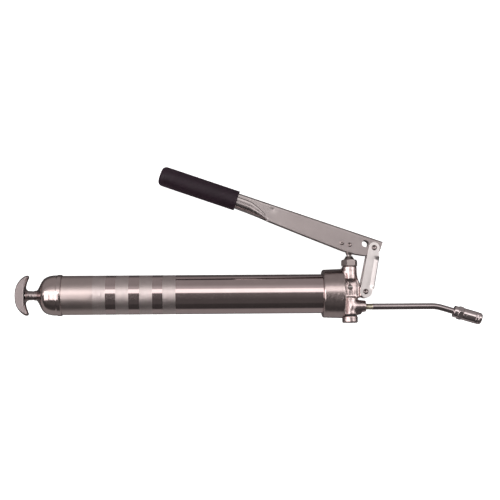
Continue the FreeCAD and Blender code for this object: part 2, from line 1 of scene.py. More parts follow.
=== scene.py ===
import bpy
import json
import math
import numpy as np
from mathutils import Matrix, Vector, noise
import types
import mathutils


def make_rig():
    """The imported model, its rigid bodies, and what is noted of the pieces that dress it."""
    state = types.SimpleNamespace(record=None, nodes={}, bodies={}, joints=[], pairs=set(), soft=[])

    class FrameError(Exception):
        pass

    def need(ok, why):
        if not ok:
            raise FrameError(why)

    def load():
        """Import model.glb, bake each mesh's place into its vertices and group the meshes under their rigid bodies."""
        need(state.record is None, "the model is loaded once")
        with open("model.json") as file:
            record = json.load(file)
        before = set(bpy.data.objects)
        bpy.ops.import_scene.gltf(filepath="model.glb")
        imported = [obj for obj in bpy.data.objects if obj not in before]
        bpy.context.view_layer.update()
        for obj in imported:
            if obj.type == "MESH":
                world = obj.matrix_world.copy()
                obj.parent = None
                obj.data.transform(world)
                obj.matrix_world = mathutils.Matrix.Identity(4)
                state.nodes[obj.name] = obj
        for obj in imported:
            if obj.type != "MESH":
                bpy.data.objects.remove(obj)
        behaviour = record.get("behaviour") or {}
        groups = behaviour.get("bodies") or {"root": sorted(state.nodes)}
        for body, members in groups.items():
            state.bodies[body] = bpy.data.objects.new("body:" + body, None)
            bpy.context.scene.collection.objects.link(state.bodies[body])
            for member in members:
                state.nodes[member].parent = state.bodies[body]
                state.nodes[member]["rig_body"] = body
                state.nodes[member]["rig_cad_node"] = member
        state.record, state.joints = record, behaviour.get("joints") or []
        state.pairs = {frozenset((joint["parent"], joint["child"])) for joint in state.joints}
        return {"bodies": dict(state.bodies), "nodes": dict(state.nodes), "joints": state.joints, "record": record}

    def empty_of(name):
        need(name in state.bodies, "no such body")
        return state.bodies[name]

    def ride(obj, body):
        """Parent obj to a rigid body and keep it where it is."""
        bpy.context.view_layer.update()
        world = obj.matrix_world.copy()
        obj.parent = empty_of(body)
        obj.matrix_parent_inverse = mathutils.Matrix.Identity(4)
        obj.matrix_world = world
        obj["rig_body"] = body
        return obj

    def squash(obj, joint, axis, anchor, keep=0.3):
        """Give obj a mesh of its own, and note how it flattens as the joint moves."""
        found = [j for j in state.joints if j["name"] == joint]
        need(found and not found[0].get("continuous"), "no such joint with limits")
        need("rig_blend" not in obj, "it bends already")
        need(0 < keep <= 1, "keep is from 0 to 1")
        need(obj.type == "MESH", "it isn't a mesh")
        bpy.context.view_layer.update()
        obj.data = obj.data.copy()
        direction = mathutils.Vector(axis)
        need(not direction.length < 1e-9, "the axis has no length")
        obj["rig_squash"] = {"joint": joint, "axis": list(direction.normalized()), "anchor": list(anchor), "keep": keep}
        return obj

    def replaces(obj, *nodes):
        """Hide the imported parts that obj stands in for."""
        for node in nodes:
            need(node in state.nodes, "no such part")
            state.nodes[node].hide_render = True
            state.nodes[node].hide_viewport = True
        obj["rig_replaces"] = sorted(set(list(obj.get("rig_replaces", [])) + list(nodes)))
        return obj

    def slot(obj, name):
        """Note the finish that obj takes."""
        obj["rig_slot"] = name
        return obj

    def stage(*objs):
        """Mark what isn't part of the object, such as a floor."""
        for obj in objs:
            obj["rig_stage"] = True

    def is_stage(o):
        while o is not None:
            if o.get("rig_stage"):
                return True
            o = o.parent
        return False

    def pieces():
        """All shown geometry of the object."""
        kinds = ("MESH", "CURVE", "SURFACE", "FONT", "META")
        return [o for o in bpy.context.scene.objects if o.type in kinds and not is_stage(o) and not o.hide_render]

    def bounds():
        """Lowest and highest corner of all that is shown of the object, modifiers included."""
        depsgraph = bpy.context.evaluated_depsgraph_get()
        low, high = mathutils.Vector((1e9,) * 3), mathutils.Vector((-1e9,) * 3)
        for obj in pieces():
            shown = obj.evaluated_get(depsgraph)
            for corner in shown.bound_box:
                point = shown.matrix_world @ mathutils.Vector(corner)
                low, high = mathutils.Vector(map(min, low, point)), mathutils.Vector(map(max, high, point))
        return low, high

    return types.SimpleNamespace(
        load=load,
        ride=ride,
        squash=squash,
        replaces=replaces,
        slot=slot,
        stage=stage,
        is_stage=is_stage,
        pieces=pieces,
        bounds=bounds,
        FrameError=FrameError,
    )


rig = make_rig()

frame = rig.load()
cad_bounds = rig.bounds()

# ------------------------------------------------------------------ the gun frame
# x along the barrel, y towards the lever, z across the lever's mid-plane, in mm,
# with its origin where the plunger's axis meets the barrel's axis.
J = {j["name"]: j for j in frame["joints"]}


def unit(v):
    v = np.array(v, float)
    return v / np.linalg.norm(v)


GX = unit(J["follower_slide"]["axis"])
GY = unit(J["plunger_slide"]["axis"])
GZ = unit(J["link_swing"]["axis"])
R = np.stack([GX, GY, GZ], axis=1)
L = np.array([21.0, 2.2, 0.0])
U = np.array([33.9, 62.8, 0.0])
P = np.array([0.0, 67.2, 0.0])
ORIGIN = np.array(J["link_swing"]["pos_m"], float) * 1000 - R @ L


def world(v):
    """Gun frame in mm to the shared frame in metres."""
    return (np.asarray(v, float) @ R.T + ORIGIN) / 1000.0


def direction(v):
    return R @ unit(v)


# ------------------------------------------------------------------ materials
def node(nt, kind, **inputs):
    n = nt.nodes.new(kind)
    for k, v in inputs.items():
        if k in n.inputs:
            n.inputs[k].default_value = v
    return n


def along(nt, axis, scale, across=1.0):
    """Coordinates in the gun frame: x is along axis, all in mm times scale."""
    tc = nt.nodes.new("ShaderNodeTexCoord")
    a = unit(axis)
    h = np.array([0, 0, 1.0]) if abs(a[2]) < 0.9 else np.array([0, 1.0, 0])
    b = unit(np.cross(h, a))
    c = np.cross(a, b)
    comb = nt.nodes.new("ShaderNodeCombineXYZ")
    for i, (v, s) in enumerate(((a, scale), (b, across), (c, across))):
        d = nt.nodes.new("ShaderNodeVectorMath")
        d.operation = "DOT_PRODUCT"
        d.inputs[1].default_value = tuple(v * 1000.0 * s)
        nt.links.new(tc.outputs["Object"], d.inputs[0])
        nt.links.new(d.outputs["Value"], comb.inputs[i])
    return comb.outputs[0]


def ramp(nt, src, stops, interp="LINEAR"):
    r = nt.nodes.new("ShaderNodeValToRGB")
    r.color_ramp.interpolation = interp
    els = r.color_ramp.elements
    while len(els) < len(stops):
        els.new(0.5)
    for e, (p, c) in zip(els, stops):
        e.position = p
        e.color = (c, c, c, 1) if not hasattr(c, "__len__") else (*c, 1)
    nt.links.new(src, r.inputs[0])
    return r


def metal(name, base, rough, axis=None, grain=(1.0, 1.0), grain_amount=0.06, spots=0.08, bump=0.02,
          bump_scale=0.6, tint=0.10, scratches=0.0, dirt=None):
    """Metal with an uneven polish: cloudy tint and roughness, fine lines, small bumps."""
    m = bpy.data.materials.new(name)
    m.use_nodes = True
    nt = m.node_tree
    bsdf = nt.nodes["Principled BSDF"]
    bsdf.inputs["Metallic"].default_value = 1.0
    ax = GX if axis is None else axis
    iso = along(nt, ax, 1.0)
    lines = along(nt, ax, grain[0], grain[1])
    cloud = node(nt, "ShaderNodeTexNoise", Scale=0.045, Detail=5.0, Roughness=0.62)
    nt.links.new(iso, cloud.inputs["Vector"])
    fine = node(nt, "ShaderNodeTexNoise", Scale=1.0, Detail=3.0, Roughness=0.55)
    nt.links.new(lines, fine.inputs["Vector"])
    small = node(nt, "ShaderNodeTexNoise", Scale=bump_scale, Detail=4.0, Roughness=0.6)
    nt.links.new(iso, small.inputs["Vector"])
    # colour
    lo = tuple(c * (1 - tint) for c in base)
    hi = tuple(min(1.0, c * (1 + tint * 0.6)) for c in base)
    col = ramp(nt, cloud.outputs["Fac"], [(0.32, lo), (0.68, hi)])
    out_col = col.outputs["Color"]
    if dirt is not None:
        mix = nt.nodes.new("ShaderNodeMix")
        mix.data_type = "RGBA"
        spot = ramp(nt, small.outputs["Fac"], [(0.60, 0.0), (0.72, 1.0)])
        nt.links.new(spot.outputs["Color"], mix.inputs["Factor"])
        nt.links.new(out_col, mix.inputs["A"])
        mix.inputs["B"].default_value = (*dirt, 1)
        out_col = mix.outputs["Result"]
    nt.links.new(out_col, bsdf.inputs["Base Color"])
    # roughness = rough + cloud + lines
    a = nt.nodes.new("ShaderNodeMath"); a.operation = "MULTIPLY_ADD"
    nt.links.new(cloud.outputs["Fac"], a.inputs[0])
    a.inputs[1].default_value = spots
    a.inputs[2].default_value = rough - spots * 0.5
    b = nt.nodes.new("ShaderNodeMath"); b.operation = "MULTIPLY_ADD"; b.use_clamp = True
    nt.links.new(fine.outputs["Fac"], b.inputs[0])
    b.inputs[1].default_value = grain_amount
    nt.links.new(a.outputs[0], b.inputs[2])
    nt.links.new(b.outputs[0], bsdf.inputs["Roughness"])
    # bump
    h = nt.nodes.new("ShaderNodeMath"); h.operation = "MULTIPLY_ADD"
    nt.links.new(fine.outputs["Fac"], h.inputs[0])
    h.inputs[1].default_value = scratches
    nt.links.new(small.outputs["Fac"], h.inputs[2])
    bp = nt.nodes.new("ShaderNodeBump")
    bp.inputs["Strength"].default_value = 1.0
    bp.inputs["Distance"].default_value = bump * 0.001
    nt.links.new(h.outputs[0], bp.inputs["Height"])
    nt.links.new(bp.outputs["Normal"], bsdf.inputs["Normal"])
    return m


def polish(m, origin_, axis_, at0, at1, gain_, rough_k):
    """Towards at1 mm along axis_ from origin_ the metal gets brighter and smoother."""
    nt = m.node_tree
    bsdf = nt.nodes["Principled BSDF"]
    tc_ = nt.nodes.new("ShaderNodeTexCoord")
    d_ = nt.nodes.new("ShaderNodeVectorMath"); d_.operation = "DOT_PRODUCT"
    d_.inputs[1].default_value = tuple(float(c) for c in axis_)
    nt.links.new(tc_.outputs["Object"], d_.inputs[0])
    off_ = float(np.dot(axis_, origin_))
    mr_ = nt.nodes.new("ShaderNodeMapRange")
    mr_.inputs["From Min"].default_value = off_ + at0 * 0.001
    mr_.inputs["From Max"].default_value = off_ + at1 * 0.001
    nt.links.new(d_.outputs["Value"], mr_.inputs["Value"])
    src = bsdf.inputs["Base Color"].links[0].from_socket
    mx_ = nt.nodes.new("ShaderNodeMix"); mx_.data_type = "RGBA"; mx_.blend_type = "MULTIPLY"
    nt.links.new(mr_.outputs["Result"], mx_.inputs["Factor"])
    nt.links.new(src, mx_.inputs["A"])
    mx_.inputs["B"].default_value = (gain_, gain_ * 1.02, gain_ * 1.02, 1)
    mx_.clamp_result = False
    nt.links.new(mx_.outputs["Result"], bsdf.inputs["Base Color"])
    rs = bsdf.inputs["Roughness"].links[0].from_socket
    k_ = nt.nodes.new("ShaderNodeMapRange")
    k_.inputs["To Min"].default_value = 1.0
    k_.inputs["To Max"].default_value = rough_k
    nt.links.new(mr_.outputs["Result"], k_.inputs["Value"])
    q_ = nt.nodes.new("ShaderNodeMath"); q_.operation = "MULTIPLY"
    nt.links.new(rs, q_.inputs[0])
    nt.links.new(k_.outputs["Result"], q_.inputs[1])
    nt.links.new(q_.outputs[0], bsdf.inputs["Roughness"])


def matt(name, base, rough, bump=0.05, scale=1.2, sheen=0.0, coat=0.0, tint=0.25):
    m = bpy.data.materials.new(name)
    m.use_nodes = True
    nt = m.node_tree
    bsdf = nt.nodes["Principled BSDF"]
    iso = along(nt, GX, 1.0)
    n1 = node(nt, "ShaderNodeTexNoise", Scale=scale, Detail=5.0, Roughness=0.65)
    n2 = node(nt, "ShaderNodeTexNoise", Scale=0.06, Detail=3.0, Roughness=0.5)
    nt.links.new(iso, n1.inputs["Vector"])
    nt.links.new(iso, n2.inputs["Vector"])
    c = ramp(nt, n2.outputs["Fac"], [(0.3, tuple(x * (1 - tint) for x in base)), (0.7, tuple(x * (1 + tint) for x in base))])
    nt.links.new(c.outputs["Color"], bsdf.inputs["Base Color"])
    r = ramp(nt, n1.outputs["Fac"], [(0.25, max(0.0, rough - 0.08)), (0.75, min(1.0, rough + 0.08))])
    nt.links.new(r.outputs["Color"], bsdf.inputs["Roughness"])
    bp = nt.nodes.new("ShaderNodeBump")
    bp.inputs["Distance"].default_value = bump * 0.001
    nt.links.new(n1.outputs["Fac"], bp.inputs["Height"])
    nt.links.new(bp.outputs["Normal"], bsdf.inputs["Normal"])
    bsdf.inputs["Coat Weight"].default_value = coat
    bsdf.inputs["Specular IOR Level"].default_value = 0.33
    return m


WARM = (0.66, 0.60, 0.595)
M_MIRROR = metal("barrel_mirror", (0.66, 0.535, 0.53), 0.08, grain=(2.2, 0.05), grain_amount=0.05, spots=0.05,
                 bump=0.0025, bump_scale=0.09, tint=0.04, scratches=0.02)
M_SOFT = metal("barrel_soft", (0.62, 0.515, 0.50), 0.30, grain=(2.6, 0.05), grain_amount=0.10, spots=0.06,
               bump=0.003, bump_scale=0.1, tint=0.05, scratches=0.05)
M_BAND = metal("barrel_band", (0.66, 0.57, 0.56), 0.34, grain=(4.5, 0.12), grain_amount=0.16, spots=0.10,
               bump=0.012, bump_scale=0.8, tint=0.07, scratches=0.8)
M_CAP = metal("cap_plate", (0.63, 0.52, 0.51), 0.13, grain=(1.6, 0.08), grain_amount=0.06, spots=0.06,
              bump=0.004, bump_scale=0.12, tint=0.05, scratches=0.05)
M_CAST = metal("cast_plate", (0.57, 0.465, 0.455), 0.18, grain=(0.6, 0.6), grain_amount=0.10, spots=0.14,
               bump=0.035, bump_scale=0.35, tint=0.10)
M_TFACE = metal("handle_face", (0.285, 0.243, 0.242), 0.40, grain=(0.5, 1.6), grain_amount=0.12, spots=0.12,
                bump=0.02, bump_scale=0.7, tint=0.07, scratches=0.3)
M_TSIDE = metal("handle_side", (0.36, 0.30, 0.297), 0.26, grain=(0.5, 0.5), grain_amount=0.10, spots=0.12,
                bump=0.05, bump_scale=0.5, tint=0.10)
LEV = direction((-math.cos(math.radians(19)), math.sin(math.radians(19)), 0))
M_LEVER = metal("zinc_sheet", (0.36, 0.312, 0.309), 0.36, axis=LEV, grain=(0.05, 1.4), grain_amount=0.14, spots=0.14,
                bump=0.012, bump_scale=0.35, tint=0.06, scratches=0.35)
M_LINK = metal("zinc_link", (0.84, 0.78, 0.77), 0.24, axis=direction((12.9, 60.6, 0)), grain=(0.06, 1.5),
               grain_amount=0.14, spots=0.12, bump=0.010, bump_scale=0.4, tint=0.06, scratches=0.35)
M_PIN = metal("pin_steel", (0.30, 0.25, 0.245), 0.16, grain=(0.8, 0.8), grain_amount=0.12, spots=0.10, bump=0.02,
              bump_scale=1.4, tint=0.12)
M_ROD = metal("bright_steel", (0.58, 0.54, 0.53), 0.22, grain=(0.05, 1.4), grain_amount=0.10, spots=0.08, bump=0.01,
              bump_scale=0.8, tint=0.07, scratches=0.2)
M_PLUNGER = metal("plunger_steel", (0.50, 0.45, 0.44), 0.25, axis=GY, grain=(0.05, 1.4), grain_amount=0.10, spots=0.08,
                  bump=0.015, bump_scale=0.8, tint=0.10, scratches=0.2)
M_NUT = metal("nut_plate", (0.44, 0.375, 0.365), 0.32, axis=GY, grain=(0.8, 0.8), grain_amount=0.12, spots=0.10,
              bump=0.02, bump_scale=0.9, tint=0.08)
M_PIPE = metal("pipe_steel", (0.47, 0.40, 0.405), 0.13, grain=(0.05, 1.0), grain_amount=0.08, spots=0.07, bump=0.01,
               bump_scale=0.5, tint=0.08, scratches=0.2)
M_THREAD = metal("pipe_thread", (0.60, 0.555, 0.44), 0.25, grain=(0.8, 0.8), grain_amount=0.12, spots=0.10, bump=0.02,
                 bump_scale=1.0, tint=0.10)
M_COUPLER = metal("coupler_plate", (0.68, 0.59, 0.59), 0.10, axis=direction((0.9686, -0.2487, 0)), grain=(3.0, 0.1),
                  grain_amount=0.07, spots=0.06, bump=0.006, bump_scale=0.6, tint=0.07, scratches=0.08)
M_SPRING = metal("spring_wire", (0.36, 0.35, 0.34), 0.33, grain=(0.4, 0.4), grain_amount=0.1, spots=0.1, bump=0.02,
                 bump_scale=1.0, tint=0.15)
M_RUBBER = matt("seal_rubber", (0.025, 0.024, 0.024), 0.62, bump=0.05, scale=1.5)
M_GRIP = matt("grip_vinyl", (0.0165, 0.0052, 0.0125), 0.50, bump=0.035, scale=1.3, tint=0.2)
# near-black steel for the bleed screw head: painted shade of its recess, not the steel's own tone
M_SUNK = metal("screw_painted_shade", (0.16, 0.125, 0.12), 0.35, grain=(0.8, 0.8), grain_amount=0.12, spots=0.10, bump=0.02,
               bump_scale=0.8, tint=0.12)
M_DARK = matt("recess_grease", (0.018, 0.015, 0.014), 0.4, bump=0.05, scale=0.8)


# ------------------------------------------------------------------ mesh helpers
def build(name, verts, faces, mats, body, replaces=(), slot=None, face_mats=None, sharp=None, mm=True):
    v = world(verts) if mm else np.asarray(verts)
    me = bpy.data.meshes.new(name)
    me.from_pydata(v.tolist(), [], [list(map(int, f)) for f in faces])
    me.update()
    for m in (mats if isinstance(mats, (list, tuple)) else [mats]):
        me.materials.append(m)
    if face_mats is not None:
        me.polygons.foreach_set("material_index", np.asarray(face_mats, dtype=np.int32))
    me.validate()
    ob = bpy.data.objects.new(name, me)
    bpy.context.scene.collection.objects.link(ob)
    bm = __import__("bmesh").new()
    bm.from_mesh(me)
    __import__("bmesh").ops.recalc_face_normals(bm, faces=bm.faces)
    bm.to_mesh(me)
    bm.free()
    me.polygons.foreach_set("use_smooth", [True] * len(me.polygons))
    if sharp is not None:
        me.set_sharp_from_angle(angle=math.radians(sharp))
    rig.ride(ob, body)
    if replaces:
        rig.replaces(ob, *([replaces] if isinstance(replaces, str) else replaces))
    if slot:
        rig.slot(ob, slot)
    return ob


def fillet(points, radii, steps=5):
    """Round the corners of an open outline of (a, b) points."""
    out = []
    n = len(points)
    pts = [np.array(p, float) for p in points]
    for i, p in enumerate(pts):
        r = radii[i] if hasattr(radii, "__len__") else radii
        if i in (0, n - 1) or r <= 0:
            out.append(p)
            continue
        a, b = pts[i - 1] - p, pts[i + 1] - p
        la, lb = np.linalg.norm(a), np.linalg.norm(b)
        if la < 1e-9 or lb < 1e-9:
            out.append(p)
            continue
        a, b = a / la, b / lb
        cosang = float(np.clip(a @ b, -1, 1))
        ang = math.acos(cosang)
        if ang > math.pi - 0.02:
            out.append(p)
            continue
        d = min(r / math.tan(ang / 2), la * 0.48, lb * 0.48)
        q0, q1 = p + a * d, p + b * d
        for k in range(steps + 1):
            t = k / steps
            out.append((1 - t) ** 2 * q0 + 2 * t * (1 - t) * p + t * t * q1)
    return [tuple(q) for q in out]


def lathe(profile, segs=96, base=(0, 0, 0), axis=(1, 0, 0), ref=(0, 1, 0), closed=False, phase=0.0, radial=None):
    """Turn an outline of (distance along axis, radius). radial(s, theta) adds to the radius."""
    base = np.array(base, float)
    a = unit(axis)
    e1 = unit(np.array(ref, float) - a * (np.array(ref, float) @ a))
    e2 = np.cross(a, e1)
    verts, rings = [], []
    th = phase + np.arange(segs) * 2 * math.pi / segs
    for s, r in profile:
        if r <= 1e-6 and not closed:
            rings.append([len(verts)])
            verts.append(base + a * s)
            continue
        rr = np.full(segs, r)
        if radial is not None:
            rr = rr + radial(s, th)
        start = len(verts)
        ring_pts = base + a * s + np.outer(rr * np.cos(th), e1) + np.outer(rr * np.sin(th), e2)
        verts.extend(list(ring_pts))
        rings.append(list(range(start, start + segs)))
    faces, owner = [], []
    n = len(rings)
    for i in range(n if closed else n - 1):
        p, q = rings[i], rings[(i + 1) % n]
        if len(p) == 1 and len(q) == 1:
            continue
        for k in range(segs):
            k2 = (k + 1) % segs
            if len(p) == 1:
                faces.append((p[0], q[k], q[k2]))
            elif len(q) == 1:
                faces.append((p[k], q[0], p[k2]))
            else:
                faces.append((p[k], q[k], q[k2], p[k2]))
            owner.append(i)
    return np.array(verts), faces, np.array(owner)


# signed distance fields, all in mm on (n, 3) arrays
def sd_cyl(p, c, axis, half, r, rnd=0.0):
    c = np.array(c, float)
    a = unit(axis)
    d = p - c
    h = d @ a
    rad = np.linalg.norm(d - np.outer(h, a), axis=1)
    qx, qy = rad - (r - rnd), np.abs(h) - (half - rnd)
    return np.minimum(np.maximum(qx, qy), 0) + np.hypot(np.maximum(qx, 0), np.maximum(qy, 0)) - rnd


def sd_box(p, c, half, rnd=0.0, rot=None):
    d = p - np.array(c, float)
    if rot is not None:
        d = d @ rot
    q = np.abs(d) - (np.array(half, float) - rnd)
    return np.minimum(q.max(axis=1), 0) + np.linalg.norm(np.maximum(q, 0), axis=1) - rnd


def sd_poly(x, y, poly):
    """Signed distance to a closed polygon in the plane."""
    poly = np.array(poly, float)
    n = len(poly)
    d = np.full(x.shape, 1e18)
    s = np.ones(x.shape)
    for i in range(n):
        a, b = poly[i], poly[i - 1]
        ex, ey = b - a
        wx, wy = x - a[0], y - a[1]
        t = np.clip((wx * ex + wy * ey) / (ex * ex + ey * ey), 0, 1)
        bx, by = wx - ex * t, wy - ey * t
        d = np.minimum(d, bx * bx + by * by)
        c1, c2, c3 = y >= a[1], y < b[1], ex * wy > ey * wx
        flip = (c1 & c2 & c3) | (~c1 & ~c2 & ~c3)
        s = np.where(flip, -s, s)
    return s * np.sqrt(d)


def smin(a, b, k):
    h = np.clip(0.5 + 0.5 * (b - a) / k, 0, 1)
    return b * (1 - h) + a * h - k * h * (1 - h)


def smax(a, b, k):
    return -smin(-a, -b, k)


def slab(d2, z, half, rnd=0.0):
    """Extrude a plane distance d2 to |z| <= half, edges rounded by rnd."""
    qx, qy = d2 + rnd, np.abs(z) - (half - rnd)
    return np.minimum(np.maximum(qx, qy), 0) + np.hypot(np.maximum(qx, 0), np.maximum(qy, 0)) - rnd


def iso(f, lo, hi, h):
    """Closed quad mesh of f = 0 (surface nets), its points drawn onto the surface."""
    lo = np.array(lo, float)
    n = np.ceil((np.array(hi, float) - lo) / h).astype(int) + 1
    ax = [lo[i] + h * np.arange(n[i]) for i in range(3)]
    D = np.empty(n)
    yy, zz = np.meshgrid(ax[1], ax[2], indexing="ij")
    for i0 in range(0, n[0], 16):
        xs = ax[0][i0:i0 + 16]
        pts = np.empty((len(xs), n[1], n[2], 3))
        pts[..., 0] = xs[:, None, None]
        pts[..., 1] = yy[None]
        pts[..., 2] = zz[None]
        D[i0:i0 + 16] = f(pts.reshape(-1, 3)).reshape(len(xs), n[1], n[2])
    ins = D < 0
    offs = [(a, b, c) for a in (0, 1) for b in (0, 1) for c in (0, 1)]

    def corner(A, o):
        return A[o[0]:A.shape[0] - 1 + o[0], o[1]:A.shape[1] - 1 + o[1], o[2]:A.shape[2] - 1 + o[2]]
    total = sum(corner(ins, o).astype(np.int8) for o in offs)
    act = (total > 0) & (total < 8)
    cells = np.argwhere(act)
    idx = -np.ones(act.shape, int)
    idx[act] = np.arange(len(cells))
    vals = {o: corner(D, o)[act] for o in offs}
    acc = np.zeros((len(cells), 3))
    cnt = np.zeros(len(cells))
    for i, a in enumerate(offs):
        for b in offs[i + 1:]:
            if sum(abs(a[k] - b[k]) for k in range(3)) != 1:
                continue
            da, db = vals[a], vals[b]
            m = (da < 0) != (db < 0)
            t = np.where(m, da / np.where(m, da - db, 1), 0)
            pos = np.array(a, float) + np.outer(t, np.array(b, float) - np.array(a, float))
            acc[m] += pos[m]
            cnt[m] += 1
    v = lo + h * (cells + acc / cnt[:, None])
    faces = []
    for k in range(3):
        o = [0, 0, 0]
        o[k] = 1
        A = ins[:ins.shape[0] - o[0], :ins.shape[1] - o[1], :ins.shape[2] - o[2]]
        B = ins[o[0]:, o[1]:, o[2]:]
        e = np.argwhere(A != B)
        u, w = [(1, 2), (2, 0), (0, 1)][k]
        ok = (e[:, u] > 0) & (e[:, w] > 0) & (e[:, u] < act.shape[u]) & (e[:, w] < act.shape[w]) & (e[:, k] < act.shape[k])
        e = e[ok]
        quad = []
        for du, dw in ((0, 0), (1, 0), (1, 1), (0, 1)):
            c = e.copy()
            c[:, u] -= du
            c[:, w] -= dw
            quad.append(idx[c[:, 0], c[:, 1], c[:, 2]])
        q = np.stack(quad, 1)
        flip = A[e[:, 0], e[:, 1], e[:, 2]]
        q[flip] = q[flip][:, ::-1]
        faces.append(q)
    q = np.concatenate(faces)
    eps = h * 0.05
    for _ in range(4):
        d = f(v)
        g = np.stack([(f(v + eps * np.eye(3)[k]) - f(v - eps * np.eye(3)[k])) / (2 * eps) for k in range(3)], 1)
        gg = np.maximum((g * g).sum(1), 0.25)
        step = -(d / gg)[:, None] * g
        ln = np.linalg.norm(step, axis=1)
        step *= np.minimum(1, 0.5 * h / np.maximum(ln, 1e-9))[:, None]
        v = v + step
    return v, q.tolist()


def bumpy(v, amount, size, seed=0.0, axis_gain=(1, 1, 1)):
    """Offsets like the skin of a sand casting."""
    g = np.array(axis_gain, float) / size
    return np.array([amount * (noise.noise(Vector((p[0] * g[0] + seed, p[1] * g[1], p[2] * g[2])))
                               + 0.5 * noise.noise(Vector((p[0] * g[0] * 2.1, p[1] * g[1] * 2.1 + seed, p[2] * g[2] * 2.1))))
                     for p in v])


def push(v, faces, offs):
    """Move points along their normals."""
    v = np.array(v, float)
    nrm = np.zeros_like(v)
    F = np.array([f if len(f) == 4 else list(f) + [f[-1]] for f in faces])
    a, b, c = v[F[:, 0]], v[F[:, 1]], v[F[:, 2]]
    fn = np.cross(b - a, c - a)
    for k in range(4):
        np.add.at(nrm, F[:, k], fn)
    nrm /= np.maximum(np.linalg.norm(nrm, axis=1), 1e-9)[:, None]
    return v + nrm * offs[:, None]


def sweep(centres, radius, segs=24, caps=True, ref=(0, 0, 1.0)):
    """Round tube through the given centres; radius is a number or fn(i, theta)."""
    C = np.array(centres, float)
    T = np.gradient(C, axis=0)
    T /= np.linalg.norm(T, axis=1)[:, None]
    n = len(C)
    th = np.arange(segs) * 2 * math.pi / segs
    e1 = np.cross(np.tile(np.array(ref, float), (n, 1)), T)
    e1 /= np.linalg.norm(e1, axis=1)[:, None]
    e2 = np.cross(T, e1)
    verts = []
    for i in range(n):
        r = radius(i, th) if callable(radius) else np.full(segs, radius)
        verts.append(C[i] + np.outer(r * np.cos(th), e1[i]) + np.outer(r * np.sin(th), e2[i]))
    verts = np.concatenate(verts)
    faces = []
    for i in range(n - 1):
        for k in range(segs):
            k2 = (k + 1) % segs
            faces.append((i * segs + k, i * segs + k2, (i + 1) * segs + k2, (i + 1) * segs + k))
    if caps:
        verts = np.concatenate([verts, [C[0]], [C[-1]]])
        a, b = n * segs, n * segs + 1
        for k in range(segs):
            k2 = (k + 1) % segs
            faces.append((a, k2, k))
            faces.append((b, (n - 1) * segs + k, (n - 1) * segs + k2))
    return verts, faces


# ------------------------------------------------------------------ barrel
BANDS = [(-353.5, -336.1), (-322.1, -304.6), (-289.8, -272.3), (-258.2, -240.7)]
SEG = 288
xs = [-396.0, -395.9, -395.6, -395.2, -394.6]
x = -394.6
while x < -14.6:
    nxt = None
    inside = next((b for b in BANDS if b[0] - 0.05 <= x < b[1]), None)
    if inside:
        x = min(x + 0.34, inside[1]) if inside[1] - x > 0.5 else inside[1]
    else:
        ahead = [b[0] for b in BANDS if b[0] > x + 1e-6]
        stop = ahead[0] if ahead else -14.6
        x = min(x + 6.0, stop) if stop - x > 0.01 else stop
    xs.append(x)
    if inside and abs(x - inside[1]) < 1e-6:
        xs.append(x + 0.05)
        x += 0.05
xs = xs + [-14.3, -14.05, -14.0]
outline = []
for x in xs:
    r = 27.0
    if x <= -395.99: r = 26.4
    elif x <= -395.85: r = 26.75
    elif x <= -395.5: r = 26.93
    if x >= -14.01: r = 26.6
    elif x >= -14.1: r = 26.9
    outline.append((x, r))
neck = [(-410.0, 25.5), (-410.0, 26.1), (-409.8, 26.25), (-396.0, 26.25)]
bore = [(-14.0, 25.5)]
profile = neck + outline + bore


def band_radial(s, th):
    b = next((b for b in BANDS if b[0] <= s <= b[1]), None)
    if b is None:
        return 0.0
    edge = min(s - b[0], b[1] - s)
    k = min(1.0, edge / 0.5)
    out = np.empty(len(th))
    for i, t in enumerate(th):
        cx, cy = math.cos(t), math.sin(t)
        out[i] = (0.085 * noise.noise(Vector((s * 0.45, cx * 3.4, cy * 3.4)))
                  + 0.055 * noise.noise(Vector((s * 1.3 + 50, cx * 6.5, cy * 6.5)))
                  + 0.020 * noise.noise(Vector((s * 2.9 + 90, cx * 2.0, cy * 2.0))))
    return k * out - 0.05 * k


v, f, own = lathe(profile, SEG, closed=True, radial=band_radial)
fm = []
for o in own:
    s = 0.5 * (profile[o][0] + profile[(o + 1) % len(profile)][0])
    if any(b[0] <= s <= b[1] + 0.05 for b in BANDS):
        fm.append(2)
    elif s < -353.5:
        fm.append(1)
    else:
        fm.append(0)
barrel = build("barrel_shell", v, f, [M_MIRROR, M_SOFT, M_BAND], "gun_body", "barrel_tube", "polished_barrel", fm, sharp=40)

# ------------------------------------------------------------------ end cap
cap_out = fillet([(-432.0, 5.6), (-432.0, 6.9), (-431.2, 7.1), (-429.9, 8.2), (-428.8, 10.0), (-427.2, 13.2),
                  (-425.6, 16.4), (-424.0, 19.3), (-422.4, 21.6), (-420.6, 23.4), (-418.4, 24.9), (-415.6, 26.1),
                  (-412.6, 26.95), (-409.4, 27.5), (-406.4, 27.72), (-403.6, 27.75), (-402.7, 28.0), (-401.6, 28.5),
                  (-398.4, 28.5), (-397.0, 28.35), (-396.3, 27.7), (-396.3, 26.35)],
                 [0, .4, .5, 2.5, 5, 8, 8, 8, 7, 8, 9, 10, 12, 12, 8, 1.2, 1.0, 0.9, 0.9, 0.7, 0.3, 0], 4)
cap_in = [(-410.0, 26.3), (-413.0, 25.4), (-418.4, 23.3), (-421.6, 20.2), (-424.4, 15.0), (-427.2, 9.6), (-429.2, 5.6)]
v, f, own = lathe(cap_out + cap_in, 240, closed=True)
build("cap_shell", v, f, M_CAP, "gun_body", "end_cap", "cap_plate", sharp=45)

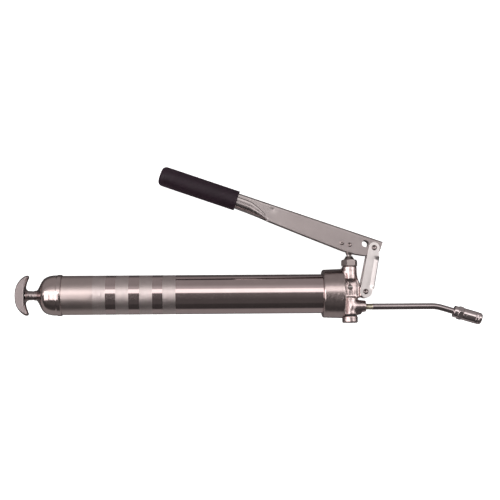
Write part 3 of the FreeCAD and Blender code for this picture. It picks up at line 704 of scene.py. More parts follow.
# ------------------------------------------------------------------ T-handle
outer = [(-441.9, 26.2), (-442.6, 27.3), (-444.2, 27.8), (-446.2, 27.6), (-448.5, 26.6), (-451.3, 24.7), (-454.1, 22.1),
         (-456.9, 18.7), (-459.5, 14.0), (-461.2, 7.6), (-461.8, 0.0)]
inner = [(-441.7, 24.6), (-442.9, 21.8), (-444.6, 17.4), (-445.7, 12.6), (-446.2, 8.0), (-446.3, 0.0)]
poly = outer + [(x, -y) for x, y in outer[-2::-1]] + [(x, -y) for x, y in inner] + [(x, y) for x, y in inner[-2::-1]]


def t_sdf(p):
    x, y, z = p[:, 0], p[:, 1], p[:, 2]
    d = sd_poly(x, y, poly)
    side = np.where(x > -452 - 0 * x, 0.5, 0.0)
    lean = 0.055 + 0.035 * np.clip((x + 456) / 8, 0, 1)
    d = slab(d + lean * z * z, z, 5.0, 0.9)
    hub = sd_cyl(p, (-440.0, 0, 0), (1, 0, 0), 7.8, 6.15, 0.4)
    flare = np.hypot(y, z) - (6.1 + 0.11 * np.clip(-440.5 - x, 0, 9) ** 2)
    hub = smax(smin(hub, np.maximum(flare, np.maximum(x + 438, -449 - x)), 1.0), -(x + 448.5), 1.0)
    body = smin(d, hub, 2.2)
    rim = sd_cyl(p, (-433.4, 0, 0), (1, 0, 0), 1.15, 6.75, 0.5)
    body = smin(body, rim, 0.8)
    return np.maximum(body, -sd_cyl(p, (-436.0, 0, 0), (1, 0, 0), 9.0, 4.0))


v, f = iso(t_sdf, (-464, -30, -9), (-431, 30, 9), 0.55)
v = push(v, f, bumpy(v, 0.045, 5.0, 3.0))
fm = []
zc = np.array([v[q][:, 2].mean() for q in np.array(f)])
xc = np.array([v[q][:, 0].mean() for q in np.array(f)])
fm = np.where((np.abs(zc) > 4.55) & (xc < -446.0), 0, 1)
build("t_handle_casting", v, f, [M_TFACE, M_TSIDE], "rod", "t_handle", "handle_plate", fm)

# ------------------------------------------------------------------ pump head
LU = unit(U - L)


def head_sdf(p):
    x, y, z = p[:, 0], p[:, 1], p[:, 2]
    r = np.hypot(y, z)
    # socket ring, slightly wider towards the front
    rad = 33.15 + 1.05 * (x + 38.4) / 29.4
    rnd = 2.4
    qx, qy = r - (rad - rnd), np.abs(x + 23.7) - (14.7 - rnd)
    ringd = np.minimum(np.maximum(qx, qy), 0) + np.hypot(np.maximum(qx, 0), np.maximum(qy, 0)) - rnd
    boss = sd_cyl(p, (0, 28.0, 0), (0, 1, -0.045), 9.9, 10.25, 2.2)
    waist = sd_cyl(p, (0.9, 6.5, 0), (0, 1, 0), 19, 7.6, 0.5)
    low = sd_cyl(p, (0, -18.2, 0), (0, 1, -0.055), 12.0, 10.2, 1.2)
    web = sd_box(p, (-5.5, 1.0, 0), (6.0, 31.0, 7.2), 3.0)
    col = smin(boss, waist, 4.5)
    col = smin(col, low, 3.0)
    # outlet boss with its fairing
    t = np.clip((x - 4) / 18.3, 0, 1)
    ro = np.hypot(y + 17.7 - 0.0 * t, z) - (9.6 - 2.0 * t)
    outl = smax(ro, np.maximum(x - 22.3, 2 - x), 1.4)
    fair = sd_box(p, (9.5, -24.0, 0), (6.2, 5.4, 4.6), 2.4)
    # lug for the link
    px_, py_ = x, y
    lugp = sd_poly(px_, py_, [(2, 24.5), (9.6, 22.6), (11.8, 18.4), (14.0, 12.4), (16.4, 8.7), (21.0, 8.7), (21.0, -4.3),
                              (14.0, -5.8), (2, -9)])
    lug = slab(lugp, z, 5.4, 2.2)
    ear = slab(sd_poly(px_, py_, [(12.8, 8.2), (21.0, 8.6), (21.0, -4.2), (12.8, -4.6)]), z, 9.0, 1.2)
    eye = sd_cyl(p, (L[0], L[1], 0), (0, 0, 1), 9.0, 6.5, 0.8)
    ear = smin(ear, eye, 0.6)
    d = smin(ringd, web, 4.0)
    d = smin(d, col, 3.2)
    d = smin(d, outl, 3.0)
    d = smin(d, fair, 3.0)
    d = smin(d, lug, 2.6)
    d = smin(d, ear, 1.2)
    # openings
    d = smax(d, -sd_cyl(p, (-26, 0, 0), (1, 0, 0), 14.0, 27.06), 0.3)
    d = np.maximum(d, -sd_cyl(p, (0, 35, 0), (0, 1, 0), 6.0, 6.5))
    d = np.maximum(d, -sd_cyl(p, (L[0], L[1], 0), (0, 0, 1), 20.0, 3.02))
    d = smax(d, -sd_cyl(p, (20, -18.4, 0), (1, 0, 0), 7.5, 4.40), 0.3)
    d = np.maximum(d, -sd_cyl(p, (0, -31, 0), (0, 1, 0), 7.0, 7.05))
    # milled recess of the bleed screw
    d = smax(d, -sd_box(p, (0.3, 8.2, 10.4), (4.4, 3.9, 2.3), 0.8), 0.6)
    return d


v, f = iso(head_sdf, (-40, -36, -36), (32, 40, 36), 0.72)
rr = np.hypot(v[:, 1], v[:, 2])
keep = np.where((v[:, 0] < -9.5) & (rr < 27.8), 0.0, 1.0)
keep *= np.where((np.hypot(v[:, 0] - L[0], v[:, 1] - L[1]) < 3.4), 0.0, 1.0)
keep *= np.where(v[:, 1] > 37.0, 0.0, 1.0) * np.where(v[:, 1] < -29.6, 0.0, 1.0)
ringk = np.where((v[:, 0] < -10) & (rr > 28), 0.45, 1.0)
vs_ = v * np.array([1.0, 0.45, 1.0])
off = bumpy(vs_, 0.15, 3.6, 11.0) + bumpy(v, 0.03, 1.8, 5.0)
off *= keep * ringk
off = np.minimum(off, 0.14)
v = push(v, f, off - 0.04 * keep)
build("head_casting", v, f, M_CAST, "gun_body", "pump_head", "cast_plate")

# bottom plug
plug = fillet([(-24.5, 3.4), (-24.5, 6.9), (-31.2, 6.9), (-31.2, 10.2), (-32.2, 10.85), (-38.0, 10.85), (-40.7, 8.6),
               (-40.7, 0)], [0, .3, .2, .5, .8, 2.0, 1.6, 0], 5)


def plug_sdf(p):
    x, y, z = p[:, 0], p[:, 1], p[:, 2]
    head_ = sd_cyl(p, (0, -35.95, 0), (0, 1, 0), 4.75, 10.85, 1.9)
    stem = sd_cyl(p, (0, -28.5, 0), (0, 1, 0), 4.0, 6.95, 0.2)
    d = np.minimum(head_, stem)
    d = np.maximum(d, -sd_cyl(p, (0, -25.0, 0), (0, 1, 0), 3.3, 3.4))
    slotd = sd_box(p, (0, -41, 0), (8.0, 1.3, 1.1), 0.2)
    return smax(d, -slotd, 0.3)


v, f = iso(plug_sdf, (-12, -42, -12), (12, -23.5, 12), 0.5)
v = push(v, f, np.where(v[:, 1] < -31.6, np.minimum(bumpy(v, 0.05, 3.4, 21.0), 0.04), 0.0))
build("bottom_plug", v, f, M_CAST, "gun_body", "cylinder_plug", "cast_plate")

# bleed screw: its head has a near-black steel colour, painted shade of the recess it sits in, with a bright tee across
# it
def screw_sdf(p):
    d = sd_cyl(p, (0.3, 8.0, 8.5), (0, 0, 1), 0.6, 3.35, 0.35)
    return np.minimum(d, sd_cyl(p, (0.3, 8.0, 6.0), (0, 0, 1), 2.2, 1.95))


def tee_sdf(p):
    return sd_box(p, (0.3, 8.5, 9.55), (3.2, 0.95, 0.95), 0.45)


v, f = iso(screw_sdf, (-4, 3.5, 3.2), (4.6, 12.5, 10.2), 0.28)
# the head takes the painted-shade steel, the tee the plain bright steel
build("bleed_screw_head", v, f, M_SUNK, "gun_body", "bleed_screw", "bright_steel", sharp=50)
v, f = iso(tee_sdf, (-4, 6.5, 8.0), (4.6, 10.5, 11.2), 0.2)
build("bleed_screw_tee", v, f, M_ROD, "gun_body", "bleed_screw", "bright_steel", sharp=50)


# ------------------------------------------------------------------ packing nut
def nut_sdf(p):
    x, y, z = p[:, 0], p[:, 1], p[:, 2]
    a = math.radians(-8)
    hexd = np.full(len(p), -1e9)
    for k in range(3):
        t = a + math.radians(30 + 60 * k)
        hexd = np.maximum(hexd, np.abs(x * math.cos(t) + z * math.sin(t)) - 10.0)
    r = np.hypot(x, z)
    hexd = smax(hexd, np.abs(y - 42.3) - 4.4, 0.3)
    hexd = smax(hexd, (r - 11.2) * 0.87 + (y - 45.2) * 0.5, 0.3)
    hexd = smax(hexd, (r - 11.4) * 0.87 - (y - 38.6) * 0.5, 0.3)
    t = np.clip((y - 46.0) / 5.7, 0, 1)
    cone = smax(r - (8.6 - 3.9 * t ** 0.8), np.abs(y - 48.6) - 3.1, 0.5)
    d = smin(hexd, cone, 0.5)
    d = np.minimum(d, sd_cyl(p, (0, 36.2, 0), (0, 1, 0), 2.0, 6.45))
    return np.maximum(d, -sd_cyl(p, (0, 43, 0), (0, 1, 0), 12.0, 3.6))


v, f = iso(nut_sdf, (-13, 33.5, -13), (13, 52.6, 13), 0.42)
build("gland_nut", v, f, M_NUT, "gun_body", "packing_nut", "coupler_plate", sharp=50)


# ------------------------------------------------------------------ plunger
def plunger_sdf(p):
    x, y, z = p[:, 0], p[:, 1], p[:, 2]
    r = np.hypot(x, z)
    rod = sd_cyl(p, (0, 22.0, 0), (0, 1, 0), 32.5, 3.5, 0.4)
    t = np.clip((y - 52.6) / 6.0, 0, 1)
    neck = smax(r - (3.5 + 2.6 * t ** 1.3), np.maximum(y - 61, 52.4 - y), 0.3)
    eye = slab(sd_poly(x, y, [(-6.0, 58.4), (6.6, 58.4), (6.9, 66.0), (6.4, 70.4), (4.2, 73.1), (-2.8, 73.1), (-5.4, 70.4),
                              (-6.0, 66.0)]), z, 6.6, 0.8)
    d = smin(np.minimum(rod, neck), eye, 0.8)
    d = np.maximum(d, np.abs(z) - 6.6)
    return np.maximum(d, -slab(sd_poly(x, y, [(-3.95, 64.45), (2.75, 64.45), (2.75, 70.5), (-3.95, 70.5)]) , z, 9.0, 0.0))


v, f = iso(plunger_sdf, (-8, -12, -8), (8, 75, 8), 0.5)
build("plunger_rod", v, f, M_PLUNGER, "plunger", "plunger", "bright_steel", sharp=50)

# ------------------------------------------------------------------ lever
CA, SA = math.cos(math.radians(19.0)), math.sin(math.radians(19.0))


def lv(s, t, z=0.0):
    return np.array([U[0] - CA * s + SA * t, U[1] + SA * s + CA * t, z])


def interp(x, table):
    xs_, ys_ = zip(*table)
    return float(np.interp(x, xs_, ys_))


BOTTOM = [(-9.2, -2.1), (-8.9, -2.4), (7.9, -13.8), (22.5, -16.4), (38.5, -17.1), (68, -15.8), (98.0, -14.3), (148.0, -11.4),
          (161.0, -10.7), (200.7, -9.3), (312, -9.2)]
FOLD = [(-9, -99), (145.0, -30.0), (151.0, -11.5), (155.8, -7.2), (161.4, -3.3), (170.6, 1.0), (180.6, 4.4), (189.6, 5.0),
        (200.7, 5.1), (312, 5.4)]
TOP_T, HW, TH, RC = 12.0, 9.5, 2.0, 3.2


def section(s):
    """Outer line of the channel at s, from the near flange's foot round the top to the far foot, (t, z)."""
    bot = interp(s, BOTTOM)
    fold = max(interp(s, FOLD), bot)
    k = min(1.0, max(0.0, (fold - bot)) / 14.4)   # how much of the flange is rolled under
    pts = []
    nroll = 18
    p0 = math.radians(12.0)
    if k > 0:
        rt = (fold - bot) / (1 + math.sin(p0))
        zf = HW * (1 - k) + 0.9 * k               # foot, near the middle when fully rolled
        rz = HW + 1.7 * k ** 0.7 - zf             # the rolled part stands a little proud of the flat one
        for i in range(nroll + 1):
            a_ = -math.pi / 2 + (math.pi / 2 + p0) * i / nroll
            pts.append((bot + rt + rt * math.sin(a_), zf + rz * math.cos(a_)))
        start = fold + 0.25 + 1.1 * k
    else:
        pts = [(bot + 0.12 * i, HW) for i in range(nroll + 1)]
        start = pts[-1][0]
    # flange
    top0 = TOP_T - RC
    for i in range(13):
        pts.append((start + (top0 - start) * (i + 0.5) / 13.5, HW))
    for i in range(9):
        a_ = i / 8 * math.pi / 2
        pts.append((top0 + RC * math.sin(a_), HW - RC + RC * math.cos(a_)))
    for i in range(1, 4):
        pts.append((TOP_T, (HW - RC) * (1 - i / 3.0)))
    return pts + [(t, -z) for t, z in pts[-2::-1]]


def inset(path, th):
    q = np.array(path, float)
    # drop repeated points before taking normals
    d = np.gradient(q, axis=0)
    ln = np.linalg.norm(d, axis=1)
    for i in range(len(d)):
        if ln[i] < 1e-3:
            d[i] = d[i - 1] if i > len(d) // 2 else np.array([1.0, 0.0])
            ln[i] = np.linalg.norm(d[i])
    nrm = np.stack([-d[:, 1], d[:, 0]], 1) / ln[:, None]
    inner_ = q - nrm * th
    return inner_


def dent(s, t):
    """Small pressed dimple near the tail."""
    q = math.hypot(s - 149.0, t - 5.4)
    return 0.55 * math.exp(-(q / 1.9) ** 2) - 0.18 * math.exp(-((q - 3.3) / 1.1) ** 2)


stations = [-9.2, -9.1, -8.9, -7.0, -5.0, -2.0, 1.0, 4.0, 6.0, 7.9, 12.0, 16.0, 20.0, 22.5, 30.0, 36.0, 38.5, 45.0, 52.0, 60.0, 68.0]
stations += list(np.arange(76.0, 143.0, 8.0)) + list(np.arange(143.0, 203.0, 1.25)) + [206.0, 214.0, 230.0, 260.0, 300.0]
verts, faces = [], []
m_len = None
for s in stations:
    o = section(s)
    m_len = len(o)
    i_ = inset(o, TH)
    i_[:, 1] = np.where(np.array(o)[:, 1] > 0, np.maximum(i_[:, 1], 0.0), np.minimum(i_[:, 1], 0.0))
    o = [(t, z - math.copysign(dent(s, t), z)) if abs(z) > 8.5 else (t, z) for t, z in o]
    for t, z in o:
        verts.append(lv(s, t, z))
    for t, z in i_:
        verts.append(lv(s, t, z))
W2 = 2 * m_len
for a in range(len(stations) - 1):
    A, B = a * W2, (a + 1) * W2
    for k in range(m_len - 1):
        faces.append((A + k, A + k + 1, B + k + 1, B + k))
        faces.append((A + m_len + k + 1, A + m_len + k, B + m_len + k, B + m_len + k + 1))
    faces.append((A, B, B + m_len, A + m_len))
    faces.append((A + m_len - 1, A + W2 - 1, B + W2 - 1, B + m_len - 1))
for a, rev in ((0, False), (len(stations) - 1, True)):
    A = a * W2
    for k in range(m_len - 1):
        q = (A + k, A + m_len + k, A + m_len + k + 1, A + k + 1)
        faces.append(q[::-1] if rev else q)
lever = build("lever_pressing", np.array(verts), faces, M_LEVER, "lever", "lever", "zinc_sheet", sharp=55)
w0_, w1_ = world(np.array([lv(0.0, 0.0), lv(1000.0, 0.0)]))
polish(M_LEVER, w0_, unit(w1_ - w0_), 118.0, 158.0, 1.12, 0.6)


def plain_mesh(name, v_, f_):
    me = bpy.data.meshes.new(name)
    me.from_pydata(world(np.array(v_)).tolist(), [], [list(q) for q in f_])
    bm = __import__("bmesh").new()
    bm.from_mesh(me)
    __import__("bmesh").ops.recalc_face_normals(bm, faces=bm.faces)
    bm.to_mesh(me)
    bm.free()
    ob = bpy.data.objects.new(name, me)
    bpy.context.scene.collection.objects.link(ob)
    return ob


def cutter(name, centre, r, half, segs=48):
    prof = [(-half, 0), (-half, r), (half, r), (half, 0)]
    v_, f_, _ = lathe(prof, segs, base=centre, axis=(0, 0, 1), ref=(1, 0, 0))
    return plain_mesh(name, v_, f_)


def apply_booleans(ob, cutters, kind="DIFFERENCE"):
    for c in cutters:
        md = ob.modifiers.new("cut", "BOOLEAN")
        md.operation = kind
        md.solver = "EXACT"
        md.object = c
        md.use_self = False
    dg = bpy.context.evaluated_depsgraph_get()
    me = bpy.data.meshes.new_from_object(ob.evaluated_get(dg))
    ob.modifiers.clear()
    old = ob.data
    ob.data = me
    for c in cutters:
        bpy.data.objects.remove(c)
    me.polygons.foreach_set("use_smooth", [True] * len(me.polygons))
    me.set_sharp_from_angle(angle=math.radians(55))
    return ob


def settle(ob, angle=32.0, weighted=True):
    """Close the cut mesh and keep its flat faces flat in shading."""
    wd = ob.modifiers.new("weld", "WELD")
    wd.merge_threshold = 0.00002
    md = ob.modifiers.new("tri", "TRIANGULATE")
    md.min_vertices = 5
    dg = bpy.context.evaluated_depsgraph_get()
    me = bpy.data.meshes.new_from_object(ob.evaluated_get(dg))
    ob.modifiers.clear()
    ob.data = me
    me.polygons.foreach_set("use_smooth", [True] * len(me.polygons))
    me.set_sharp_from_angle(angle=math.radians(angle))
    if not weighted:
        return ob
    wn = ob.modifiers.new("wn", "WEIGHTED_NORMAL")
    wn.keep_sharp = True
    wn.weight = 100
    wn.mode = "FACE_AREA_WITH_ANGLE"
    dg = bpy.context.evaluated_depsgraph_get()
    me = bpy.data.meshes.new_from_object(ob.evaluated_get(dg))
    ob.modifiers.clear()
    ob.data = me
    return ob


apply_booleans(lever, [cutter("c1", U, 3.05, 14), cutter("c2", P, 2.5, 14), cutter("c3", lv(13.3, 1.4), 4.75, 14),
                       cutter("c4", lv(44.6, -8.0), 2.2, 14)])
settle(lever, weighted=False)

# ------------------------------------------------------------------ grip
GS, GE, GR, GT = 201.1, 313.3, 13.9, 1.8
prof = [(GS + 0.0, 11.3), (GS, 13.5), (GS + 0.15, 13.8), (GS + 0.5, 13.9)]
s = GS + 0.9
while s < GE - 21.0:
    prof.append((s, GR))
    s += 0.36
prof += [(s, GR), (s + 0.5, GR + 0.05), (s + 1.2, GR + 0.06), (s + 3.0, GR + 0.02), (GE - 12.0, GR), (GE - 8.0, GR - 0.02), (GE - 6.6, GR - 0.1)]
for i in range(1, 13):
    a = i / 12 * math.pi / 2
    prof.append((GE - 6.6 + 6.6 * math.sin(a), GR - 6.6 + 6.5 * math.cos(a)))
prof += [(GE, 3.4), (GE - 0.5, 3.0), (GE - 0.6, 0.0)]
PITCH_ = 2 * math.pi / 46


def grip_radial(s, th):
    if s < GS + 1.2 or s > GE - 21.0:
        return 0.0
    k = min(1.0, (s - GS - 1.2) / 0.8, (GE - 21.0 - s) / 0.8)
    a = (th + s * 0.078) / PITCH_
    b = (th - s * 0.078) / PITCH_
    ga = np.abs((a % 1.0) - 0.5) * 2
    gb = np.abs((b % 1.0) - 0.5) * 2
    groove = np.maximum(np.clip((ga - 0.62) / 0.38, 0, 1), np.clip((gb - 0.62) / 0.38, 0, 1))
    return -0.34 * k * groove + 0.05 * k


a0 = lv(0, GT)
gdir = lv(1, GT) - lv(0, GT)
v, f, own = lathe(prof, 322, base=a0, axis=gdir, ref=(0, 0, 1), radial=grip_radial)
# close the front face on to the tail
nv = len(v)
inner_prof = [(GS, 11.3), (GE - 5.0, 11.2), (GE - 5.0, 0.0)]
full = inner_prof[::-1] + prof[1:]
v, f, own = lathe(full, 322, base=a0, axis=gdir, ref=(0, 0, 1), radial=lambda s_, t_: grip_radial(s_, t_))
# the bore keeps its plain radius
rad_axis = v - a0
hh = rad_axis @ unit(gdir)
build("vinyl_grip", v, f, M_GRIP, "lever", "lever_grip", "grip_vinyl", sharp=60)


# ------------------------------------------------------------------ link
span = float(np.linalg.norm(U - L))
LV2 = np.array([LU[1], -LU[0], 0.0])


WEB = ((6.0, 11.2), (50.0, 10.0))
LT, LE = 1.8, 11.5


def lk(u, w, z=0.0):
    q = L + LU * u + LV2 * w
    return (q[0], q[1], z)


def link_section(u):
    wv = WEB[0][1] + (WEB[1][1] - WEB[0][1]) * (u - 6.0) / 44.0
    k = min(1.0, max(0.0, min(u - 4.0, 52.0 - u) / 6.5))
    k = k * k * (3 - 2 * k)
    r = 2.15 + 0.6 * k
    drop = 1.5 * k
    sl = math.atan2(drop, 5.2)                    # slope of the shoulder
    ws = wv - r - 5.2                             # where the flat ear ends
    out_ = [(-11.0 + (ws + 11.0) * i / 5, LE) for i in range(6)]
    for i in range(1, 6):
        t_ = i / 5
        out_.append((ws + 5.2 * t_, LE - drop * (t_ + 0.35 * t_ * (1 - t_) * (2 * t_ - 1))))
    zc_ = LE - drop - r
    for i in range(1, 11):
        a_ = sl + (math.pi / 2 - sl) * i / 10
        out_.append((wv - r + r * math.sin(a_), zc_ + r * math.cos(a_)))
    for i in range(1, 3):
        out_.append((wv, zc_ * (1 - i / 2.0)))
    q = np.array(out_ + [(w, -z) for w, z in out_[-2::-1]])
    d_ = np.gradient(q, axis=0)
    n_ = np.stack([d_[:, 1], -d_[:, 0]], 1) / np.linalg.norm(d_, axis=1)[:, None]
    in_ = q + n_ * LT
    in_[:, 0] = np.minimum(in_[:, 0], wv - LT)
    return [tuple(c) for c in q], [tuple(c) for c in in_]


us = [-12.0, 0.0, 4.0] + list(np.arange(4.8, 11.0, 0.8)) + [16.0, 22.0, 28.0, 34.0, 40.0] + list(np.arange(45.2, 52.0, 0.8)) + [52.0, 60.0, 74.0]
verts, faces = [], []
for u_ in us:
    o_, i_ = link_section(u_)
    ml = len(o_)
    verts += [lk(u_, w_, z_) for w_, z_ in o_] + [lk(u_, w_, z_) for w_, z_ in i_]
for a_ in range(len(us) - 1):
    A, B = a_ * 2 * ml, (a_ + 1) * 2 * ml
    for k in range(ml - 1):
        faces.append((A + k, A + k + 1, B + k + 1, B + k))
        faces.append((A + ml + k + 1, A + ml + k, B + ml + k, B + ml + k + 1))
    faces.append((A, B, B + ml, A + ml))
    faces.append((A + ml - 1, A + 2 * ml - 1, B + 2 * ml - 1, B + ml - 1))
for a_, rev in ((0, False), (len(us) - 1, True)):
    A = a_ * 2 * ml
    for k in range(ml - 1):
        q = (A + k, A + ml + k, A + ml + k + 1, A + k + 1)
        faces.append(q[::-1] if rev else q)
link_ob = build("link_pressing", np.array(verts), faces, M_LINK, "link", "fulcrum_link", "zinc_sheet", sharp=45)
# plan outline: round ears, the web between two notches
line = []
for i in range(25):
    a_ = math.pi * i / 24
    line.append((span + 7.5 * math.sin(a_), -7.5 * math.cos(a_)))
line += [(span - 5.0, 7.6), (52.4, 8.3), (50.8, 9.2), (50.0, 10.4), (50.0, 14.0), (6.0, 14.0), (6.0, 11.6), (5.4, 10.2), (4.2, 9.3), (2.0, 9.0)]
for i in range(25):
    a_ = math.pi * i / 24
    line.append((-8.6 * math.sin(a_), 0.6 + 8.4 * math.cos(a_)))
pv = [lk(u_, w_, -15.0) for u_, w_ in line] + [lk(u_, w_, 15.0) for u_, w_ in line]
nl = len(line)
pf = [tuple(range(nl))[::-1], tuple(range(nl, 2 * nl))] + [(i, (i + 1) % nl, nl + (i + 1) % nl, nl + i) for i in range(nl)]


apply_booleans(link_ob, [plain_mesh("plan", pv, pf)], "INTERSECT")
apply_booleans(link_ob, [cutter("d1", U, 3.02, 16), cutter("d2", L, 3.06, 16)])
settle(link_ob)


# ------------------------------------------------------------------ pins and rivet
def pin_mesh(name, at, r, rh, z_far, z_near, hh_, body, node_name, groove):
    pr = [(z_far, 0), (z_far, r - 0.5), (z_far + 0.5, r), (groove, r), (groove, r - 0.5), (groove + 0.9, r - 0.5),
          (groove + 0.9, r), (z_near, r), (z_near, rh - 0.15), (z_near + 0.15, rh), (z_near + hh_ * 0.55, rh),
          (z_near + hh_, rh - 0.7), (z_near + hh_, rh * 0.72)]
    pr = fillet(pr, [0, .2, .2, 0, 0, 0, 0, 0, .1, .1, .4, .3, 0], 4)
    rd = rh * 0.72
    dep = 0.85 * hh_
    for i in range(1, 13):
        a_ = i / 12 * math.pi / 2
        pr.append((z_near + hh_ - dep * math.sin(a_) ** 0.9, rd * math.cos(a_)))
    v_, f_, _ = lathe(pr, 64, base=(at[0], at[1], 0), axis=(0, 0, 1), ref=(1, 0, 0))
    return build(name, v_, f_, M_PIN, body, node_name, "bright_steel", sharp=50)


EO = 11.5
pin_mesh("upper_pivot_pin", U, 3.0, 3.75, -EO - 2.4, EO, 1.3, "link", "link_upper_pin", -EO - 1.2)
pin_mesh("lower_pivot_pin", L, 3.0, 3.75, -EO - 2.4, EO + 0.05, 1.3, "gun_body", "link_lower_pin", -EO - 1.2)
pin_mesh("plunger_pivot_pin", P, 2.5, 3.1, -HW - 2.0, HW, 0.9, "lever", "plunger_pin", -HW - 1.05)
rv = lv(44.6, -8.0)
pr = fillet([(-10.2, 0), (-10.2, 2.6), (-9.5, 3.3), (-9.5, 2.2), (9.5, 2.2), (9.5, 3.3), (10.0, 3.0), (10.2, 1.5), (10.0, 0)],
            [0, .5, 0, 0, 0, .1, .4, .6, 0], 4)
v, f, own = lathe(pr, 56, base=(rv[0], rv[1], 0), axis=(0, 0, 1), ref=(1, 0, 0))
build("lever_rivet_head", v, f, M_PIN, "lever", "lever_rivet", "bright_steel", sharp=50)

# ------------------------------------------------------------------ pipe
PA = math.radians(16.7)
BX, OY, BR, CX = 121.0, -18.4, 50.0, 144.7
tl = BR * math.tan(PA / 2)
D2 = np.array([math.cos(PA), -math.sin(PA), 0.0])
PB = np.array([BX, OY, 0.0])
C0 = PB + D2 * ((CX - BX) / math.cos(PA))
pts, kind = [], []
x = 12.7
while x < 31.8:
    pts.append((x, OY, 0)); kind.append(1)
    x += 0.11
while x < BX - tl:
    pts.append((x, OY, 0)); kind.append(0)
    x += 3.0
cen = np.array([BX - tl, OY - BR, 0.0])
for i in range(0, 25):
    a = PA * i / 24
    pts.append(tuple(cen + BR * np.array([math.sin(a), math.cos(a), 0]))); kind.append(0)
e = np.array(pts[-1])
end = C0 + D2 * 9.8
n_ = 16
for i in range(1, n_ + 1):
    pts.append(tuple(e + (end - e) * i / n_)); kind.append(0)
pts = np.array(pts)


def pipe_r(i, th):
    if kind[i] == 1:
        x_ = pts[i][0]
        ph = (x_ / 0.94 + th / (2 * math.pi)) % 1.0
        tri = np.abs(ph - 0.5) * 2
        fade = min(1.0, max(0.0, (31.8 - x_) / 1.2))
        return 4.25 - 0.34 * tri * fade + 0.1 * (1 - fade)
    return np.full(len(th), 4.35)


v, f = sweep(pts, pipe_r, 64)
fm = [1 if (q[0] // 64 < sum(kind) and max(q) < 64 * sum(kind)) else 0 for q in f]
build("discharge_pipe", v, f, [M_PIPE, M_THREAD], "gun_body", "extension_pipe", "pipe_steel", fm, sharp=50)

# ------------------------------------------------------------------ coupler
CZ = np.array([0, 0, 1.0])
CYv = np.cross(CZ, D2)
RC3 = np.stack([CYv, CZ, D2], 1)             # local x, y across, local z along the coupler


def local(p):
    return (p - C0) @ RC3


def adapter_sdf(p):
    q = local(p)
    x, y, s_ = q[:, 0], q[:, 1], q[:, 2]
    r = np.hypot(x, y)
    collar = smax(r - 8.15, np.abs(s_ - 3.1) - 3.1, 0.9)
    # six shallow flats on the collar
    hexd = np.full(len(p), -1e9)
    for k in range(3):
        t = math.radians(20 + 30 + 60 * k)
        hexd = np.maximum(hexd, np.abs(x * math.cos(t) + y * math.sin(t)) - 8.5)
    hexd = smax(hexd, np.abs(s_ - 9.5) - 3.45, 0.25)
    hexd = smax(hexd, (r - 9.15) * 0.8 + (np.abs(s_ - 9.5) - 2.9) * 0.6, 0.3)
    d = smin(collar, hexd, 0.3)
    d = np.minimum(d, smax(r - 5.5, np.abs(s_ - 15.4) - 2.6, 0.1))
    d = np.maximum(d, -smax(r - 4.37, np.abs(s_ - 4.5) - 5.5, 0.1))
    return np.maximum(d, -smax(r - 2.0, np.abs(s_ - 14) - 6, 0.1))


box = np.array([C0 - 11, C0 + D2 * 18.5 + 11, C0 + D2 * 18.5 - 11, C0 + 11])
v, f = iso(adapter_sdf, box.min(0), box.max(0), 0.33)
build("coupler_adapter_hex", v, f, M_COUPLER, "gun_body", "coupler_adapter", "coupler_plate", sharp=50)

pr = fillet([(13.0, 5.55), (13.0, 8.0), (13.5, 8.5), (17.6, 8.5), (17.75, 8.3), (17.95, 8.3), (18.1, 8.5), (30.8, 8.5), (31.2, 8.1), (31.2, 6.0),
             (18.1, 6.0), (18.1, 5.55)], [0, .3, .3, .05, .05, .05, .05, .3, .3, 0, 0, 0], 4)
v, f, own = lathe(pr, 128, base=C0, axis=D2, ref=(0, 0, 1), closed=True)
build("coupler_barrel", v, f, M_COUPLER, "gun_body", "coupler_body", "coupler_plate", sharp=45)


def sleeve_sdf(p):
    q = local(p)
    x, y, s_ = q[:, 0], q[:, 1], q[:, 2]
    r = np.hypot(x, y)
    th = np.arctan2(y, x)
    ringd = r * (1 + 0.0 * th) - 8.5
    seg = (th / (math.pi / 6)) % 1.0 - 0.5
    flats = r * np.cos(seg * math.pi / 6) - 8.22
    ring_ = smax(np.maximum(ringd, flats), np.abs(s_ - 32.9) - 1.55, 0.35)
    neck_ = smax(r - 7.85, np.abs(s_ - 35) - 2.5, 0.2)
    nose = smax(r - 8.4, np.maximum(s_ - 40.3, 35.2 - s_), 0.4)
    nose = smax(nose, (r - 8.35) * 0.83 + (s_ - 37.9) * 0.56, 0.5)
    d = smin(smin(ring_, neck_, 0.25), nose, 0.25)
    d = np.minimum(d, smax(r - 5.95, np.abs(s_ - 30) - 1.8, 0.1))
    cone_r = np.where(s_ < 35.7, 5.4, np.where(s_ < 38.9, 5.4 - (s_ - 35.7) * 1.9 / 3.2, 3.5))
    return smax(d, -(r - cone_r), 0.2)


a_ = C0 + D2 * 27.5
b_ = C0 + D2 * 41.0
v, f = iso(sleeve_sdf, np.minimum(a_, b_) - 9.5, np.maximum(a_, b_) + 9.5, 0.33)
build("coupler_nose", v, f, M_COUPLER, "gun_body", "coupler_sleeve", "coupler_plate", sharp=50)


# ------------------------------------------------------------------ springs
def helix(base, axis, ref, radius, wire, length, turns, per=28, segs=12, dead=1.5):
    base, a = np.array(base, float), unit(axis)
    e1 = unit(np.array(ref, float) - a * (np.array(ref, float) @ a))
    e2 = np.cross(a, e1)
    n = int(turns * per)
    out = []
    for i in range(n + 1):
        u = i / n
        t = u * turns
        # closed end coils
        lo_, hi_ = dead, turns - dead
        rise = np.interp(t, [0, lo_, hi_, turns], [0, lo_ * 2.15 * wire, length - 2 * wire - lo_ * 2.15 * wire, length - 2 * wire])
        ang = 2 * math.pi * t
        out.append(base + a * (wire + rise) + radius * (e1 * math.cos(ang) + e2 * math.sin(ang)))
    return sweep(out, wire, segs, ref=tuple(a))


